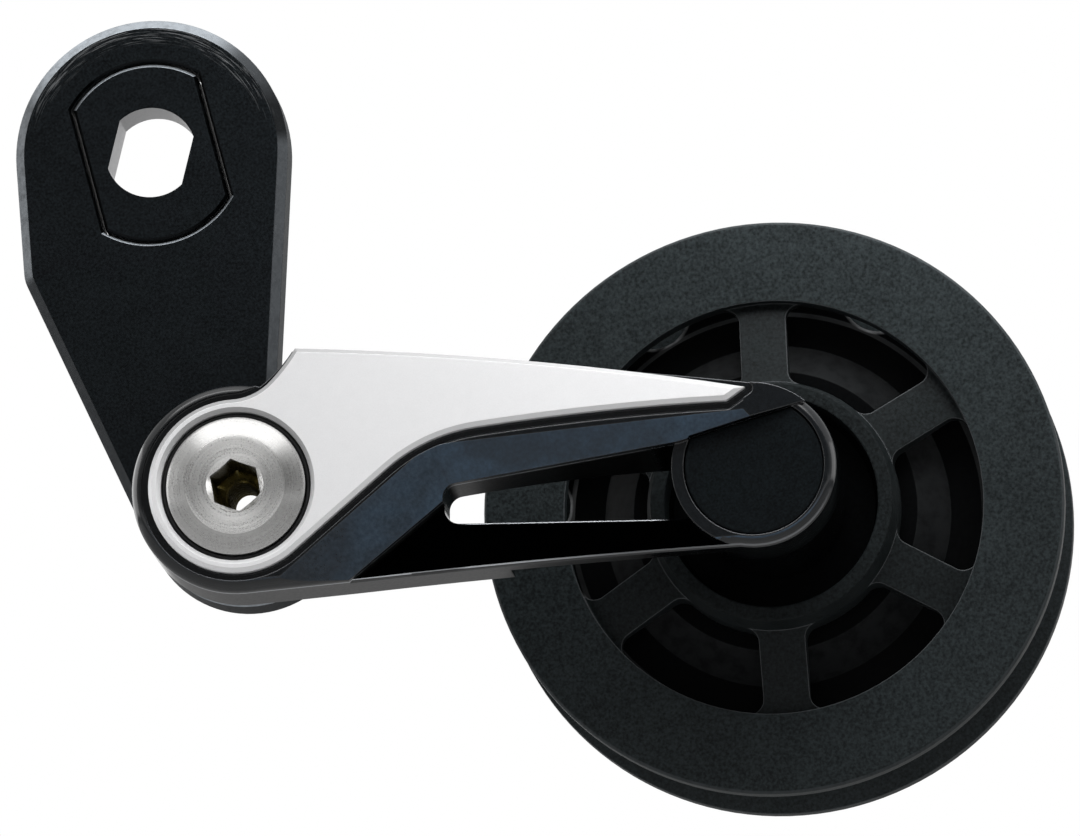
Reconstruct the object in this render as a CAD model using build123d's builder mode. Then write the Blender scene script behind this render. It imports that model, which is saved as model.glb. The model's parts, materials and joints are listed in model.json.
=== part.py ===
from build123d import *

import math
import os

# Bicycle chain tensioner. A hanger bracket is clamped on the hub axle, outside the frame's dropout.
# A sprung arm turns on a hollow bolt at its foot, and carries a guide pulley between two guard rings.
#
# Millimetres. +Z is up, +X is towards the front of the bicycle and -Y is outwards, away from the hub.
# The origin is the centre of the axle hole, on the bracket face that lies against the dropout.
# A level is a distance in front of that face, so the plane at level 6 is y = -6.
# Points of an outline are (x, z) pairs.

# Axle hole and the insert that holds it
axle_hole_diameter = 9.8
axle_flat_width = 8.2
axle_flat_lean = -13.5
insert_diameter = 19.4
insert_flat_width = 13.7
insert_flat_lean = 15.0
insert_clearance = 0.3
insert_edge_break = 0.3

# Hanger bracket
bracket_thickness = 5.5
bracket_head_radius = 14.7
bracket_foot_radius = 11.2
bracket_front_chamfer = 1.0
bracket_rear_chamfer = 0.5
recess_edge_break = 0.25
pivot_x = 10.4
pivot_z = -38.5
shoulder_inset = 1.0
shoulder_drop = 13.6
shoulder_radius = 4.0
front_edge_offset = 2.7
crotch_radius = 2.5

# Pivot bolt, bush and spring
bolt_head_radius = 7.45
bolt_face_radius = 5.35
bolt_head_height = 1.5
bolt_bevel_drop = 0.75
bolt_shank_radius = 4.0
bolt_bore_radius = 2.1
bolt_end_gap = 0.6
bolt_hex_width = 5.0
bolt_hex_depth = 6.0
bolt_hex_turn = 40.0
thread_clearance = 0.05
running_clearance = 0.05
bush_wall = 1.5
bush_end_float = 0.3
washer_float = 0.03
seal_section_radius = 0.2
seal_gap = 0.08
spring_wire_diameter = 1.4
spring_mean_radius = 7.0
spring_pitch = 1.6
spring_turns = 2.5
spring_tail_clearance = 0.12
spring_seat_gap = 0.5
stop_pin_radius = 1.0
stop_pin_circle = 10.2
stop_pin_angle = 95.0
stop_pin_reach = 2.0
stop_pin_depth = 4.0
stop_gap = 0.1
arm_travel = 70.0

# Arm
arm_reach = 55.2
arm_rise = 1.4
arm_boss_radius = 11.3
arm_boss_round = 1.2
arm_gap = 0.5
arm_thickness = 8.2
arm_front_wall = 1.6
spring_room_depth = 6.0
spring_room_radius = 9.2
end_boss_radius = 8.8
end_boss_drop = 1.3
end_boss_round = 1.1
underside_bend_drop = 1.5
underside_inset = 0.2
notch_angle = 83.0
facet_tilt = 9.0
facet_margin = 0.3
run_out_back = 1.0
run_out_length = 7.0
arm_top_inset = 0.15
rail_foot_x = 10.9
rail_foot_drop = 11.2
rail_bend_x = 24.5
rail_bend_rise = 0.2
rail_turn_back = 7.9
rail_turn_rise = 2.6
rail_tip_out = 1.8
rail_tip_rise = 5.7
rail_round = 2.0
rail_edge_break = 0.2
lower_rail_width = 0.3
pocket_depth = 3.0
slot_start_x = 22.0
slot_drop = 3.95
slot_end_round = 1.6
rear_step_x = 29.0
rear_step_depth = 3.8
underside_bend_back = 1.0
rear_boss_tip_radius = 7.6
gusset_start_x = 22.0
gusset_depth = 7.0
gusset_hollow = 1.5

# Cover plate let into the front of the arm
cover_thickness = 1.3
cover_seat_depth = 0.6
cover_seat_gap = 0.8
cover_edge_chamfer = 0.45
cover_ring_radius = 9.4
cover_bolt_gap = 0.6
cover_corner = (6.3, 14.8)
cover_tip_back = 0.8
cover_tip_top = 8.2
cover_tip_cut = 2.0
cover_tip_width = 1.4
cover_top_bow = 0.8
cover_bend = (20.1, 5.1)
cover_lower_bow = 0.5
cover_bend_radius = 18.0
cover_notch_radius = 6.0
cover_notch_angle = 81.0
cover_notch_bow = 0.5
cover_post_height = 9.4
cover_post_radius = 1.2
cover_post_length = 2.2
cover_post_clearance = 0.06

# Round cap over the end of the pulley axle
cap_radius = 7.4
cap_thickness = 1.0
cap_clearance = 0.12
cap_sink = 0.2
cap_chord = 4.85
cap_chord_angle = 106.7
cap_edge_round = 0.25

# Guide pulley and guard rings
chain_pitch = 12.7
tooth_count = 13
roller_pocket_radius = 3.95
tooth_height = 3.0
tooth_flank_angle = 25.0
tooth_thickness = 2.2
tooth_tip_thickness = 1.2
pulley_rim_thickness = 3.4
pulley_rim_width = 0.6
pulley_hub_radius = 15.3
pulley_slope_radius = 18.7
pulley_turn = 10.2
guard_radius = 31.3
guard_inner_radius = 22.6
guard_thickness = 2.4
guard_spacing = 9.2
guard_edge_round = 0.4
guard_lead_in = 0.6
guard_lead_in_width = 2.2
guard_step = 1.3
guard_hub_radius = 13.6
guard_hub_hole_radius = 11.5
guard_collar_height = 3.0
guard_rear_collar_height = 1.0
guard_collar_taper = 0.6
guard_spoke_width = 5.0
guard_spoke_count = 6
guard_turn = 33.5
guard_window_round = 1.6
guard_spoke_rise = 1.8
wheel_setback = 16.9

# Pulley axle
axle_shank_radius = 3.0
axle_head_radius = 5.2
axle_head_height = 2.6
axle_head_bevel = 0.6
axle_end_gap = 0.5
axle_hex_width = 4.0
axle_hex_depth = 1.8
axle_thread_length = 14.0
sleeve_wall = 1.9
sleeve_overhang = 0.5
liner_wall = 1.5
dust_cap_thickness = 0.5
dust_cap_lip = 0.2
dust_cap_gap = 0.6
axle_washer_radius = 6.4
axle_washer_thickness = 0.8

# Screws that hold the two guard rings to the pulley
guard_screw_count = 3
guard_screw_circle = 14.0
guard_screw_radius = 0.9
guard_screw_head_radius = 1.7
guard_screw_head_height = 0.9
guard_screw_head_bevel = 0.3
guard_screw_sink = 0.5
guard_screw_bite = 1.8
guard_screw_clearance = 0.06

# Levels that follow from those sizes
bracket_front = bracket_thickness
arm_rear = bracket_front + arm_gap
arm_front = arm_rear + arm_thickness
cover_seat = arm_front - cover_seat_depth
spring_room_front = arm_rear + spring_room_depth
bush_front = cover_seat + bush_end_float
bolt_front = bush_front + bolt_head_height
cover_front = cover_seat + cover_thickness
end_boss_front = arm_front - end_boss_drop
cap_front = end_boss_front - cap_sink
cap_seat = cap_front - cap_thickness
pocket_floor = arm_front - pocket_depth
wheel_level = -wheel_setback
hub_front = wheel_level + guard_spacing / 2
hub_rear = wheel_level - guard_spacing / 2
sleeve_front = hub_front + sleeve_overhang
sleeve_rear = hub_rear - sleeve_overhang
rear_boss_end = sleeve_front + dust_cap_thickness
axle_washer_front = sleeve_rear - dust_cap_thickness
axle_head_front = axle_washer_front - axle_washer_thickness

# Radii that follow from those sizes
bush_radius = bolt_shank_radius + thread_clearance + bush_wall
sleeve_radius = axle_shank_radius + thread_clearance + sleeve_wall
liner_bore = sleeve_radius + running_clearance
liner_radius = liner_bore + liner_wall
pitch_radius = chain_pitch / 2 / math.sin(math.pi / tooth_count)
cover_hole_radius = bolt_head_radius + cover_bolt_gap
dust_cap_radius = guard_hub_hole_radius - dust_cap_gap

# Places in the (x, z) plane
axle = (0.0, 0.0)
pivot = (pivot_x, pivot_z)
wheel = (pivot_x + arm_reach, pivot_z + arm_rise)
shoulder = (shoulder_inset - bracket_head_radius, -shoulder_drop)
front_edge_foot = (pivot_x + front_edge_offset, pivot_z + bracket_foot_radius / 3)


def from_pivot(point):
    """A point given from the pivot, as a place in the (x, z) plane."""
    return (pivot[0] + point[0], pivot[1] + point[1])


def bowed(start, end, rise):
    """The middle of a line between two points, raised by a bow."""
    return ((start[0] + end[0]) / 2, (start[1] + end[1]) / 2 + rise)


def meeting(first, second, third, fourth):
    """Where the line through two points meets the line through two others."""
    run = (second[0] - first[0], second[1] - first[1])
    other = (fourth[0] - third[0], fourth[1] - third[1])
    cross = run[0] * other[1] - run[1] * other[0]
    share = ((third[0] - first[0]) * other[1] - (third[1] - first[1]) * other[0]) / cross
    return (first[0] + share * run[0], first[1] + share * run[1])


def leaving(first, second, centre, radius):
    """Where the line from one point through another leaves a circle."""
    run = math.dist(first, second)
    along = ((second[0] - first[0]) / run, (second[1] - first[1]) / run)
    reach = (centre[0] - first[0]) * along[0] + (centre[1] - first[1]) * along[1]
    nearest = (first[0] + reach * along[0], first[1] + reach * along[1])
    half = math.sqrt(radius**2 - math.dist(nearest, centre) ** 2)
    return (nearest[0] + half * along[0], nearest[1] + half * along[1])


def around(centre, radius, angle):
    """The point at a radius and an angle in degrees about a centre."""
    turn = math.radians(angle)
    return (centre[0] + radius * math.cos(turn), centre[1] + radius * math.sin(turn))


def touch(point, centre, radius, side):
    """Where a line from a point touches a circle, on the left (1) or the right (-1) of its centre."""
    reach = math.dist(point, centre)
    heading = math.atan2(centre[1] - point[1], centre[0] - point[0])
    heading += side * math.asin(radius / reach)
    length = math.sqrt(reach**2 - radius**2)
    return (point[0] + length * math.cos(heading), point[1] + length * math.sin(heading))


def section_plane(place):
    """Plane through an axis at a place: radius along its x, level along its y."""
    return Plane(origin=(place[0], 0, place[1]), x_dir=(1, 0, 0), z_dir=(0, 0, -1))


def turning_axis(place):
    """Axis through a place, pointing outwards."""
    return Axis((place[0], 0, place[1]), (0, -1, 0))


def round_bar(place, radius, start, stop, mode=Mode.ADD):
    """Cylinder about a place, between two levels."""
    with BuildSketch(Plane.XZ.offset(start)) as disc:
        with Locations(place):
            Circle(radius)
    extrude(disc.sketch, amount=stop - start, mode=mode)


def ring(place, inner, outer, start, stop):
    """Plain ring about a place, between two levels."""
    with BuildSketch(Plane.XZ.offset(start)) as annulus:
        with Locations(place):
            Circle(outer)
            Circle(inner, mode=Mode.SUBTRACT)
    extrude(annulus.sketch, amount=stop - start)


def turned(place, *profile):
    """Solid turned about a place from a closed profile of (radius, level) points."""
    with BuildSketch(section_plane(place)) as half_section:
        with BuildLine():
            Polyline(*profile, close=True)
        make_face()
    revolve(half_section.sketch, axis=turning_axis(place))


def hex_socket(place, width, turn, start, stop):
    """Hexagon socket about a place, cut between two levels."""
    with BuildSketch(Plane.XZ.offset(start)) as hexagon:
        with Locations(place):
            RegularPolygon(width / 2, 6, major_radius=False, rotation=turn)
    extrude(hexagon.sketch, amount=stop - start, mode=Mode.SUBTRACT)


def double_flat(diameter, width, lean):
    """Round outline with two parallel flats, leaning from upright."""
    Circle(diameter / 2)
    Rectangle(width, diameter, rotation=lean, mode=Mode.INTERSECT)


def save(piece, name):
    """Label a finished piece and write it."""
    piece.label = name
    export_step(piece, f"parts/{name}.step")


os.makedirs("parts", exist_ok=True)

# Line of the spring's coil, and the places of its two tails.
spring_rear_level = bracket_front + spring_seat_gap + spring_wire_diameter / 2
spring_front_level = spring_rear_level + spring_pitch * spring_turns
spring_tail_radius = spring_wire_diameter / 2 + spring_tail_clearance
spring_rear_end = bracket_front - 2 * spring_wire_diameter
spring_front_end = spring_room_front + arm_front_wall / 2
with BuildLine() as coil:
    Helix(
        spring_pitch,
        spring_pitch * spring_turns,
        spring_mean_radius,
        center=(pivot_x, -spring_rear_level, pivot_z),
        direction=(0, -1, 0),
    )
spring_rear_place = ((coil.line @ 0).X, (coil.line @ 0).Z)
spring_front_place = ((coil.line @ 1).X, (coil.line @ 1).Z)

# Hanger bracket: a plate with a round head about the axle and a round foot about the pivot.
stop_pin_place = around(pivot, stop_pin_circle, stop_pin_angle)
stop_pin_foot = bracket_front - stop_pin_depth
stop_pin_end = arm_rear + stop_pin_reach

with BuildPart() as hanger_bracket:
    with BuildSketch(Plane.XZ) as plate:
        with BuildLine():
            Polyline(
                shoulder,
                touch(shoulder, axle, bracket_head_radius, 1),
                touch(front_edge_foot, axle, bracket_head_radius, -1),
                front_edge_foot,
                pivot,
                touch(shoulder, pivot, bracket_foot_radius, -1),
                close=True,
            )
        make_face()
        Circle(bracket_head_radius)
        with Locations(pivot):
            Circle(bracket_foot_radius)
        crotch = (front_edge_foot[0], pivot_z + bracket_foot_radius)
        fillet(plate.vertices().sort_by_distance(shoulder)[0], shoulder_radius)
        fillet(plate.vertices().sort_by_distance(crotch)[0], crotch_radius)
    extrude(amount=bracket_thickness)
    chamfer(hanger_bracket.faces().sort_by(Axis.Y)[0].edges(), bracket_front_chamfer)
    chamfer(hanger_bracket.faces().sort_by(Axis.Y)[-1].edges(), bracket_rear_chamfer)
    with BuildSketch(Plane.XZ):
        double_flat(
            insert_diameter + 2 * insert_clearance,
            insert_flat_width + 2 * insert_clearance,
            insert_flat_lean,
        )
    extrude(amount=bracket_thickness, mode=Mode.SUBTRACT)
    recess = (0, -bracket_front, 0)
    chamfer(
        hanger_bracket.edges().group_by(Axis.Y)[0].sort_by_distance(recess)[:4], recess_edge_break
    )
    round_bar(pivot, bolt_shank_radius + thread_clearance, 0, bracket_front, Mode.SUBTRACT)
    round_bar(stop_pin_place, stop_pin_radius, stop_pin_foot, bracket_front, Mode.SUBTRACT)
    round_bar(spring_rear_place, spring_tail_radius, spring_rear_end, bracket_front, Mode.SUBTRACT)
save(hanger_bracket.part, "hanger_bracket")

# Axle insert: a plug with two flats, so that it can be turned over to suit the dropout's angle.
with BuildPart() as axle_insert:
    with BuildSketch(Plane.XZ):
        double_flat(insert_diameter, insert_flat_width, insert_flat_lean)
    extrude(amount=bracket_thickness)
    chamfer(axle_insert.faces().sort_by(Axis.Y)[0].edges(), insert_edge_break)
    with BuildSketch(Plane.XZ):
        double_flat(axle_hole_diameter, axle_flat_width, axle_flat_lean)
    extrude(amount=bracket_thickness, mode=Mode.SUBTRACT)
save(axle_insert.part, "axle_insert")

# Pivot bolt: hollow, with a bevelled head and a hexagon socket.
bolt_rim_level = bolt_front - bolt_bevel_drop
with BuildPart() as pivot_bolt:
    turned(
        pivot,
        (bolt_bore_radius, bolt_end_gap),
        (bolt_shank_radius, bolt_end_gap),
        (bolt_shank_radius, bush_front),
        (bolt_head_radius, bush_front),
        (bolt_head_radius, bolt_rim_level),
        (bolt_face_radius, bolt_front),
        (bolt_bore_radius, bolt_front),
    )
    hex_socket(pivot, bolt_hex_width, bolt_hex_turn, bolt_front - bolt_hex_depth, bolt_front)
save(pivot_bolt.part, "pivot_bolt")

# Bush clamped between the bolt head and the bracket, on which the arm turns.
with BuildPart() as pivot_bush:
    ring(pivot, bolt_shank_radius + thread_clearance, bush_radius, bracket_front, bush_front)
save(pivot_bush.part, "pivot_bush")

# Slip washer under the bolt head.
with BuildPart() as pivot_washer:
    ring(
        pivot,
        bush_radius + running_clearance,
        bolt_head_radius - running_clearance,
        cover_seat + washer_float,
        bush_front - washer_float,
    )
save(pivot_washer.part, "pivot_washer")

# Rubber ring that closes the gap between the bolt head and the cover plate.
with BuildPart() as pivot_seal:
    with BuildSketch(section_plane(pivot)):
        with Locations((bolt_head_radius + seal_gap + seal_section_radius, bush_front)):
            Circle(seal_section_radius)
    revolve(axis=turning_axis(pivot))
save(pivot_seal.part, "pivot_seal")

# Pin in the bracket that ends the arm's travel.
with BuildPart() as stop_pin:
    round_bar(stop_pin_place, stop_pin_radius, stop_pin_foot, stop_pin_end)
save(stop_pin.part, "stop_pin")

# Torsion spring: one tail in the bracket, the other in the front wall of the arm.
with BuildPart() as torsion_spring:
    with BuildSketch(Plane(origin=coil.line @ 0, z_dir=coil.line % 0)):
        Circle(spring_wire_diameter / 2)
    sweep(path=coil.line, is_frenet=True)
    round_bar(spring_rear_place, spring_wire_diameter / 2, spring_rear_end, spring_rear_level)
    round_bar(spring_front_place, spring_wire_diameter / 2, spring_front_level, spring_front_end)
    with Locations(coil.line @ 0, coil.line @ 1):
        Sphere(spring_wire_diameter / 2)
save(torsion_spring.part, "torsion_spring")

# Outline of the cover plate: a ring about the pivot that runs out into a blade along the arm.
cover_tip = (arm_reach - cover_tip_back, arm_rise + cover_tip_top)
cover_heel = (cover_tip[0] - cover_tip_cut, cover_tip[1] - cover_tip_width)
top_middle = bowed(cover_corner, cover_tip, cover_top_bow)
lower_middle = bowed(cover_bend, cover_heel, cover_lower_bow)


def cover_outline(sketch):
    """Draw the cover plate's outline in a sketch, with its bend and its notch rounded."""
    bend = from_pivot(cover_bend)
    foot = around(pivot, cover_ring_radius, cover_notch_angle)
    with BuildLine() as edge:
        Polyline(
            bend,
            touch(bend, pivot, cover_ring_radius, 1),
            pivot,
            foot,
        )
        ThreePointArc(
            foot, bowed(foot, from_pivot(cover_corner), -cover_notch_bow), from_pivot(cover_corner)
        )
        ThreePointArc(from_pivot(cover_corner), from_pivot(top_middle), from_pivot(cover_tip))
        Line(from_pivot(cover_tip), from_pivot(cover_heel))
        ThreePointArc(from_pivot(cover_heel), from_pivot(lower_middle), bend)
    make_face(edge.edges())
    with Locations(pivot):
        Circle(cover_ring_radius)
    fillet(sketch.vertices().sort_by_distance(bend)[0], cover_bend_radius)
    fillet(sketch.vertices().sort_by_distance(foot)[0], cover_notch_radius)


# Cover plate: bright blade with two posts on its back that press into the arm.
cover_posts = [from_pivot((arm_reach * share, cover_post_height)) for share in (1 / 3, 2 / 3)]
with BuildPart() as cover_plate:
    with BuildSketch(Plane.XZ.offset(cover_seat)) as blank:
        cover_outline(blank)
    extrude(amount=cover_thickness)
    round_bar(pivot, cover_hole_radius, cover_seat, cover_front, Mode.SUBTRACT)
    chamfer(cover_plate.faces().sort_by(Axis.Y)[0].edges(), cover_edge_chamfer)
    for post in cover_posts:
        round_bar(post, cover_post_radius, cover_seat - cover_post_length, cover_seat)
save(cover_plate.part, "cover_plate")

# Lines of the arm: the lower edge of its upper rail, and its underside.
rail_foot = from_pivot((rail_foot_x, -rail_foot_drop))
rail_bend = from_pivot((rail_bend_x, rail_bend_rise))
rail_turn = from_pivot((arm_reach - rail_turn_back, arm_rise + rail_turn_rise))
rail_tip = from_pivot((arm_reach + rail_tip_out, arm_rise + rail_tip_rise))
rail_slope = (rail_turn[1] - rail_bend[1]) / (rail_turn[0] - rail_bend[0])
slot_start = from_pivot((slot_start_x, -slot_drop))
underside_bend_z = arm_rise - end_boss_radius - underside_bend_drop
underside_bend = from_pivot((rear_step_x - underside_bend_back, underside_bend_z))
underside_start = touch(underside_bend, pivot, arm_boss_radius, 1)
underside_end = (wheel[0], wheel[1] - end_boss_radius + underside_inset)
rail_low = meeting(rail_foot, rail_bend, underside_start, underside_bend)
rail_knee = bowed(rail_low, rail_bend, 0)
rail_exit = leaving(rail_turn, rail_tip, wheel, end_boss_radius)
lip_level = rail_low[1] + lower_rail_width
lip_start = meeting(rail_low, rail_bend, (pivot_x, lip_level), (wheel[0], lip_level))
lip_bend = (underside_bend[0], underside_bend[1] + lower_rail_width)
lip_end = (underside_end[0], underside_end[1] + lower_rail_width)
below = wheel[1] - 2 * end_boss_radius
beyond = wheel[0] + 2 * end_boss_radius

# Skirt of the arm's boss: it carries the rounded rim on along the underside.
with BuildPart() as skirt:
    with BuildSketch(Plane.XZ.offset(arm_rear)):
        with BuildLine():
            Polyline(pivot, underside_start, rail_low, rail_knee, close=True)
        make_face()
    extrude(amount=arm_thickness)
    skirt_middle = bowed(underside_start, rail_low, 0)
    skirt_mark = (skirt_middle[0], -arm_front, skirt_middle[1])
    fillet(skirt.edges().sort_by_distance(skirt_mark)[0], arm_boss_round)

# Lower rail, with the floor between the rails: its rounded edge runs on into the rim of the end boss.
with BuildPart() as lower_rail:
    with BuildSketch(Plane.XZ.offset(arm_rear)):
        with BuildLine():
            ThreePointArc(rail_low, underside_bend, underside_end)
            Polyline(
                underside_end, wheel, from_pivot(cover_heel), from_pivot(cover_bend), pivot, rail_low
            )
        make_face()
    extrude(amount=end_boss_front - arm_rear)
    lower_mark = (underside_bend[0], -end_boss_front, underside_bend[1])
    fillet(lower_rail.edges().sort_by_distance(lower_mark)[0], end_boss_round)

# Boss at the end of the arm, with a rounded rim.
with BuildPart() as end_boss:
    round_bar(wheel, end_boss_radius, arm_rear, end_boss_front)
    fillet(end_boss.faces().sort_by(Axis.Y)[0].edges(), end_boss_round)

# Gusset behind the upper rail: it deepens towards the pulley and runs out into the end boss.
gusset_end = arm_rear - gusset_depth
gusset_start = (pivot_x + gusset_start_x, -arm_rear)
gusset_stop = (wheel[0] - end_boss_radius, -gusset_end)
gusset_middle = (
    (gusset_start[0] + gusset_stop[0]) / 2 + gusset_hollow,
    (gusset_start[1] + gusset_stop[1]) / 2 - gusset_hollow,
)
with BuildPart() as gusset:
    with BuildSketch(Plane.XZ.offset(gusset_end)):
        with BuildLine():
            Polyline(
                rail_bend,
                rail_turn,
                rail_tip,
                from_pivot((cover_tip[0], cover_tip[1] - cover_seat_gap)),
                from_pivot((gusset_start_x, cover_corner[1] - 2 * cover_seat_gap)),
                close=True,
            )
        make_face()
    extrude(amount=gusset_depth + arm_front_wall)
    with BuildSketch(Plane.XY.offset(pivot_z - arm_reach)):
        with BuildLine():
            ThreePointArc(gusset_start, gusset_middle, gusset_stop)
            Polyline(
                gusset_stop,
                (wheel[0], gusset_stop[1]),
                (beyond, -arm_front),
                (gusset_start[0], -arm_front),
                gusset_start,
            )
        make_face()
    extrude(amount=2 * arm_reach, mode=Mode.INTERSECT)


def facet_cut(start, end):
    """Section of what a facet takes off: it falls away from beside a line along the cover's edge."""
    heading = math.atan2(end[1] - start[1], end[0] - start[0])
    hinge = around(start, cover_seat_gap + facet_margin, math.degrees(heading) - 90)
    across = Plane(
        origin=(hinge[0], -arm_front, hinge[1]),
        x_dir=(math.sin(heading), 0, -math.cos(heading)),
        z_dir=(math.cos(heading), 0, math.sin(heading)),
    )
    drop = arm_reach * math.tan(math.radians(facet_tilt))
    with BuildSketch(across) as section:
        with BuildLine():
            Polyline((0, 0), (arm_reach, drop), (arm_reach, -drop), (0, -drop), close=True)
        make_face()
    return section.sketch


# Facets of the upper rail: two planes that fall from the cover's groove to the pocket.
cover_turn = from_pivot(cover_bend)
short_facet = facet_cut(touch(cover_turn, pivot, cover_ring_radius, 1), cover_turn)
long_facet = facet_cut(cover_turn, from_pivot(cover_heel))
with BuildPart() as facets:
    extrude(short_facet, amount=arm_reach, both=True)
    extrude(long_facet, amount=2 * arm_reach, both=True, mode=Mode.INTERSECT)
    with BuildSketch(Plane.XZ.offset(end_boss_front)):
        with Locations(wheel):
            Rectangle(4 * arm_reach, 4 * arm_reach)
    extrude(amount=2 * end_boss_drop, mode=Mode.INTERSECT)


def cap_outline(radius, chord):
    """Round outline at the pulley axle with one side cut straight."""
    with Locations(wheel):
        Circle(radius)
    with Locations(around(wheel, chord - 2 * radius, cap_chord_angle)):
        Rectangle(4 * radius, 4 * radius, rotation=cap_chord_angle, mode=Mode.INTERSECT)


# Arm body: a casting with a round boss at each end, an upper rail, a slotted pocket and a lower rail.
arm_corner = from_pivot((cover_corner[0] - cover_seat_gap / 2, cover_corner[1] - arm_top_inset))
arm_top_middle = from_pivot((top_middle[0], top_middle[1] - arm_top_inset))
notch_foot = around(pivot, arm_boss_radius - arm_boss_round, notch_angle)
arm_top_end = (wheel[0], wheel[1] + end_boss_radius)
arm_end_turn = math.degrees(math.atan2(rail_exit[1] - wheel[1], rail_exit[0] - wheel[0]))
arm_end_middle = around(wheel, end_boss_radius, (90 + arm_end_turn) / 2)
stop_half_angle = math.degrees(math.asin((stop_pin_radius + stop_gap) / stop_pin_circle))
stop_first = stop_pin_angle - stop_half_angle
stop_last = stop_pin_angle + arm_travel + stop_half_angle

with BuildPart() as arm_body:
    round_bar(pivot, arm_boss_radius, arm_rear, arm_front)
    fillet(arm_body.faces().sort_by(Axis.Y)[0].edges(), arm_boss_round)
    add(skirt.part)
    add(lower_rail.part)
    add(end_boss.part)
    with BuildSketch(Plane.XZ.offset(arm_rear)) as upper_rail:
        with BuildLine():
            ThreePointArc(arm_top_end, arm_end_middle, rail_exit)
            Polyline(rail_exit, rail_turn, rail_bend, rail_knee, pivot, notch_foot)
            ThreePointArc(notch_foot, bowed(notch_foot, arm_corner, -cover_notch_bow), arm_corner)
            ThreePointArc(arm_corner, arm_top_middle, arm_top_end)
        make_face()
        fillet(upper_rail.vertices().sort_by_distance(rail_bend)[0], rail_round)
    extrude(amount=arm_thickness)
    turned(
        wheel,
        (0, rear_boss_end),
        (rear_boss_tip_radius, rear_boss_end),
        (end_boss_radius, arm_rear),
        (0, arm_rear),
    )
    add(gusset.part)
    add(facets.part, mode=Mode.SUBTRACT)
    # The end of the upper rail, run out to the level of the end boss.
    run_out_start = (wheel[0] - run_out_back, -arm_front)
    run_out_stop = (run_out_start[0] + run_out_length, -end_boss_front)
    with BuildSketch(Plane.XY.offset(wheel[1])):
        with BuildLine():
            Polyline(
                run_out_start,
                run_out_stop,
                (beyond, -end_boss_front),
                (beyond, -arm_front),
                close=True,
            )
        make_face()
    extrude(amount=2 * end_boss_radius, mode=Mode.SUBTRACT)
    # The pocket between the rails.
    with BuildSketch(Plane.XZ.offset(pocket_floor)) as pocket:
        with BuildLine():
            Polyline(lip_start, rail_bend, rail_turn, wheel, lip_end)
            ThreePointArc(lip_end, lip_bend, lip_start)
        make_face()
        with Locations(wheel):
            Circle(end_boss_radius, mode=Mode.SUBTRACT)
        fillet(pocket.vertices().sort_by_distance(rail_bend)[0], rail_round)
    extrude(amount=pocket_depth, mode=Mode.SUBTRACT)
    # The slot through the pocket's floor.
    with BuildSketch(Plane.XZ.offset(gusset_end)) as slot:
        with BuildLine():
            Polyline(
                slot_start,
                (slot_start[0], rail_bend[1] - (rail_bend[0] - slot_start[0]) * rail_slope),
                rail_turn,
                wheel,
                (wheel[0], slot_start[1]),
                close=True,
            )
        make_face()
        with Locations(wheel):
            Circle(end_boss_radius, mode=Mode.SUBTRACT)
        fillet(slot.vertices().sort_by(Axis.X)[:2], slot_end_round)
    extrude(amount=arm_front - gusset_end, mode=Mode.SUBTRACT)
    # The back of the lower rail, cut forward to save weight.
    with BuildSketch(Plane.XZ.offset(arm_rear)):
        with BuildLine():
            Polyline(
                (pivot_x + rear_step_x, below),
                (pivot_x + rear_step_x, pivot_z),
                (wheel[0], pivot_z),
                (wheel[0], below),
                close=True,
            )
        make_face()
        with Locations(wheel):
            Circle(end_boss_radius, mode=Mode.SUBTRACT)
    extrude(amount=rear_step_depth, mode=Mode.SUBTRACT)
    # Seats of the cover plate and its posts.
    with BuildSketch(Plane.XZ.offset(cover_seat)) as seat:
        cover_outline(seat)
        offset(amount=cover_seat_gap)
    extrude(amount=cover_thickness, mode=Mode.SUBTRACT)
    groove_middle = from_pivot((lower_middle[0], lower_middle[1] - cover_seat_gap))
    groove_mark = (groove_middle[0], -arm_front, groove_middle[1])
    chamfer(arm_body.edges().sort_by_distance(groove_mark)[0], rail_edge_break)
    for post in cover_posts:
        round_bar(
            post,
            cover_post_radius + cover_post_clearance,
            cover_seat - cover_post_length,
            cover_seat,
            Mode.SUBTRACT,
        )
    # Seat of the cap, and the threaded hole for the pulley axle behind it.
    with BuildSketch(Plane.XZ.offset(cap_seat)):
        cap_outline(cap_radius + cap_clearance, cap_chord + cap_clearance)
    extrude(amount=arm_front - cap_seat, mode=Mode.SUBTRACT)
    round_bar(
        wheel,
        axle_shank_radius + thread_clearance,
        rear_boss_end,
        rear_boss_end + axle_thread_length,
        Mode.SUBTRACT,
    )
    # Room for the spring and its tail, the bore for the bush, and the notch for the stop pin.
    round_bar(pivot, spring_room_radius, arm_rear, spring_room_front, Mode.SUBTRACT)
    round_bar(pivot, bush_radius + running_clearance, arm_rear, arm_front, Mode.SUBTRACT)
    round_bar(
        spring_front_place, spring_tail_radius, spring_room_front, spring_front_end, Mode.SUBTRACT
    )
    with BuildSketch(Plane.XZ.offset(arm_rear)):
        with Locations(pivot):
            Circle(stop_pin_circle + stop_pin_radius + 2 * stop_gap)
            Circle(spring_room_radius - stop_gap, mode=Mode.SUBTRACT)
        with BuildLine():
            Polyline(
                pivot,
                around(pivot, 2 * bracket_head_radius, stop_first),
                around(pivot, 2 * bracket_head_radius, (stop_first + stop_last) / 2),
                around(pivot, 2 * bracket_head_radius, stop_last),
                close=True,
            )
        make_face(mode=Mode.INTERSECT)
    extrude(amount=stop_pin_reach + stop_gap, mode=Mode.SUBTRACT)
save(arm_body.part, "arm_body")

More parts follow.
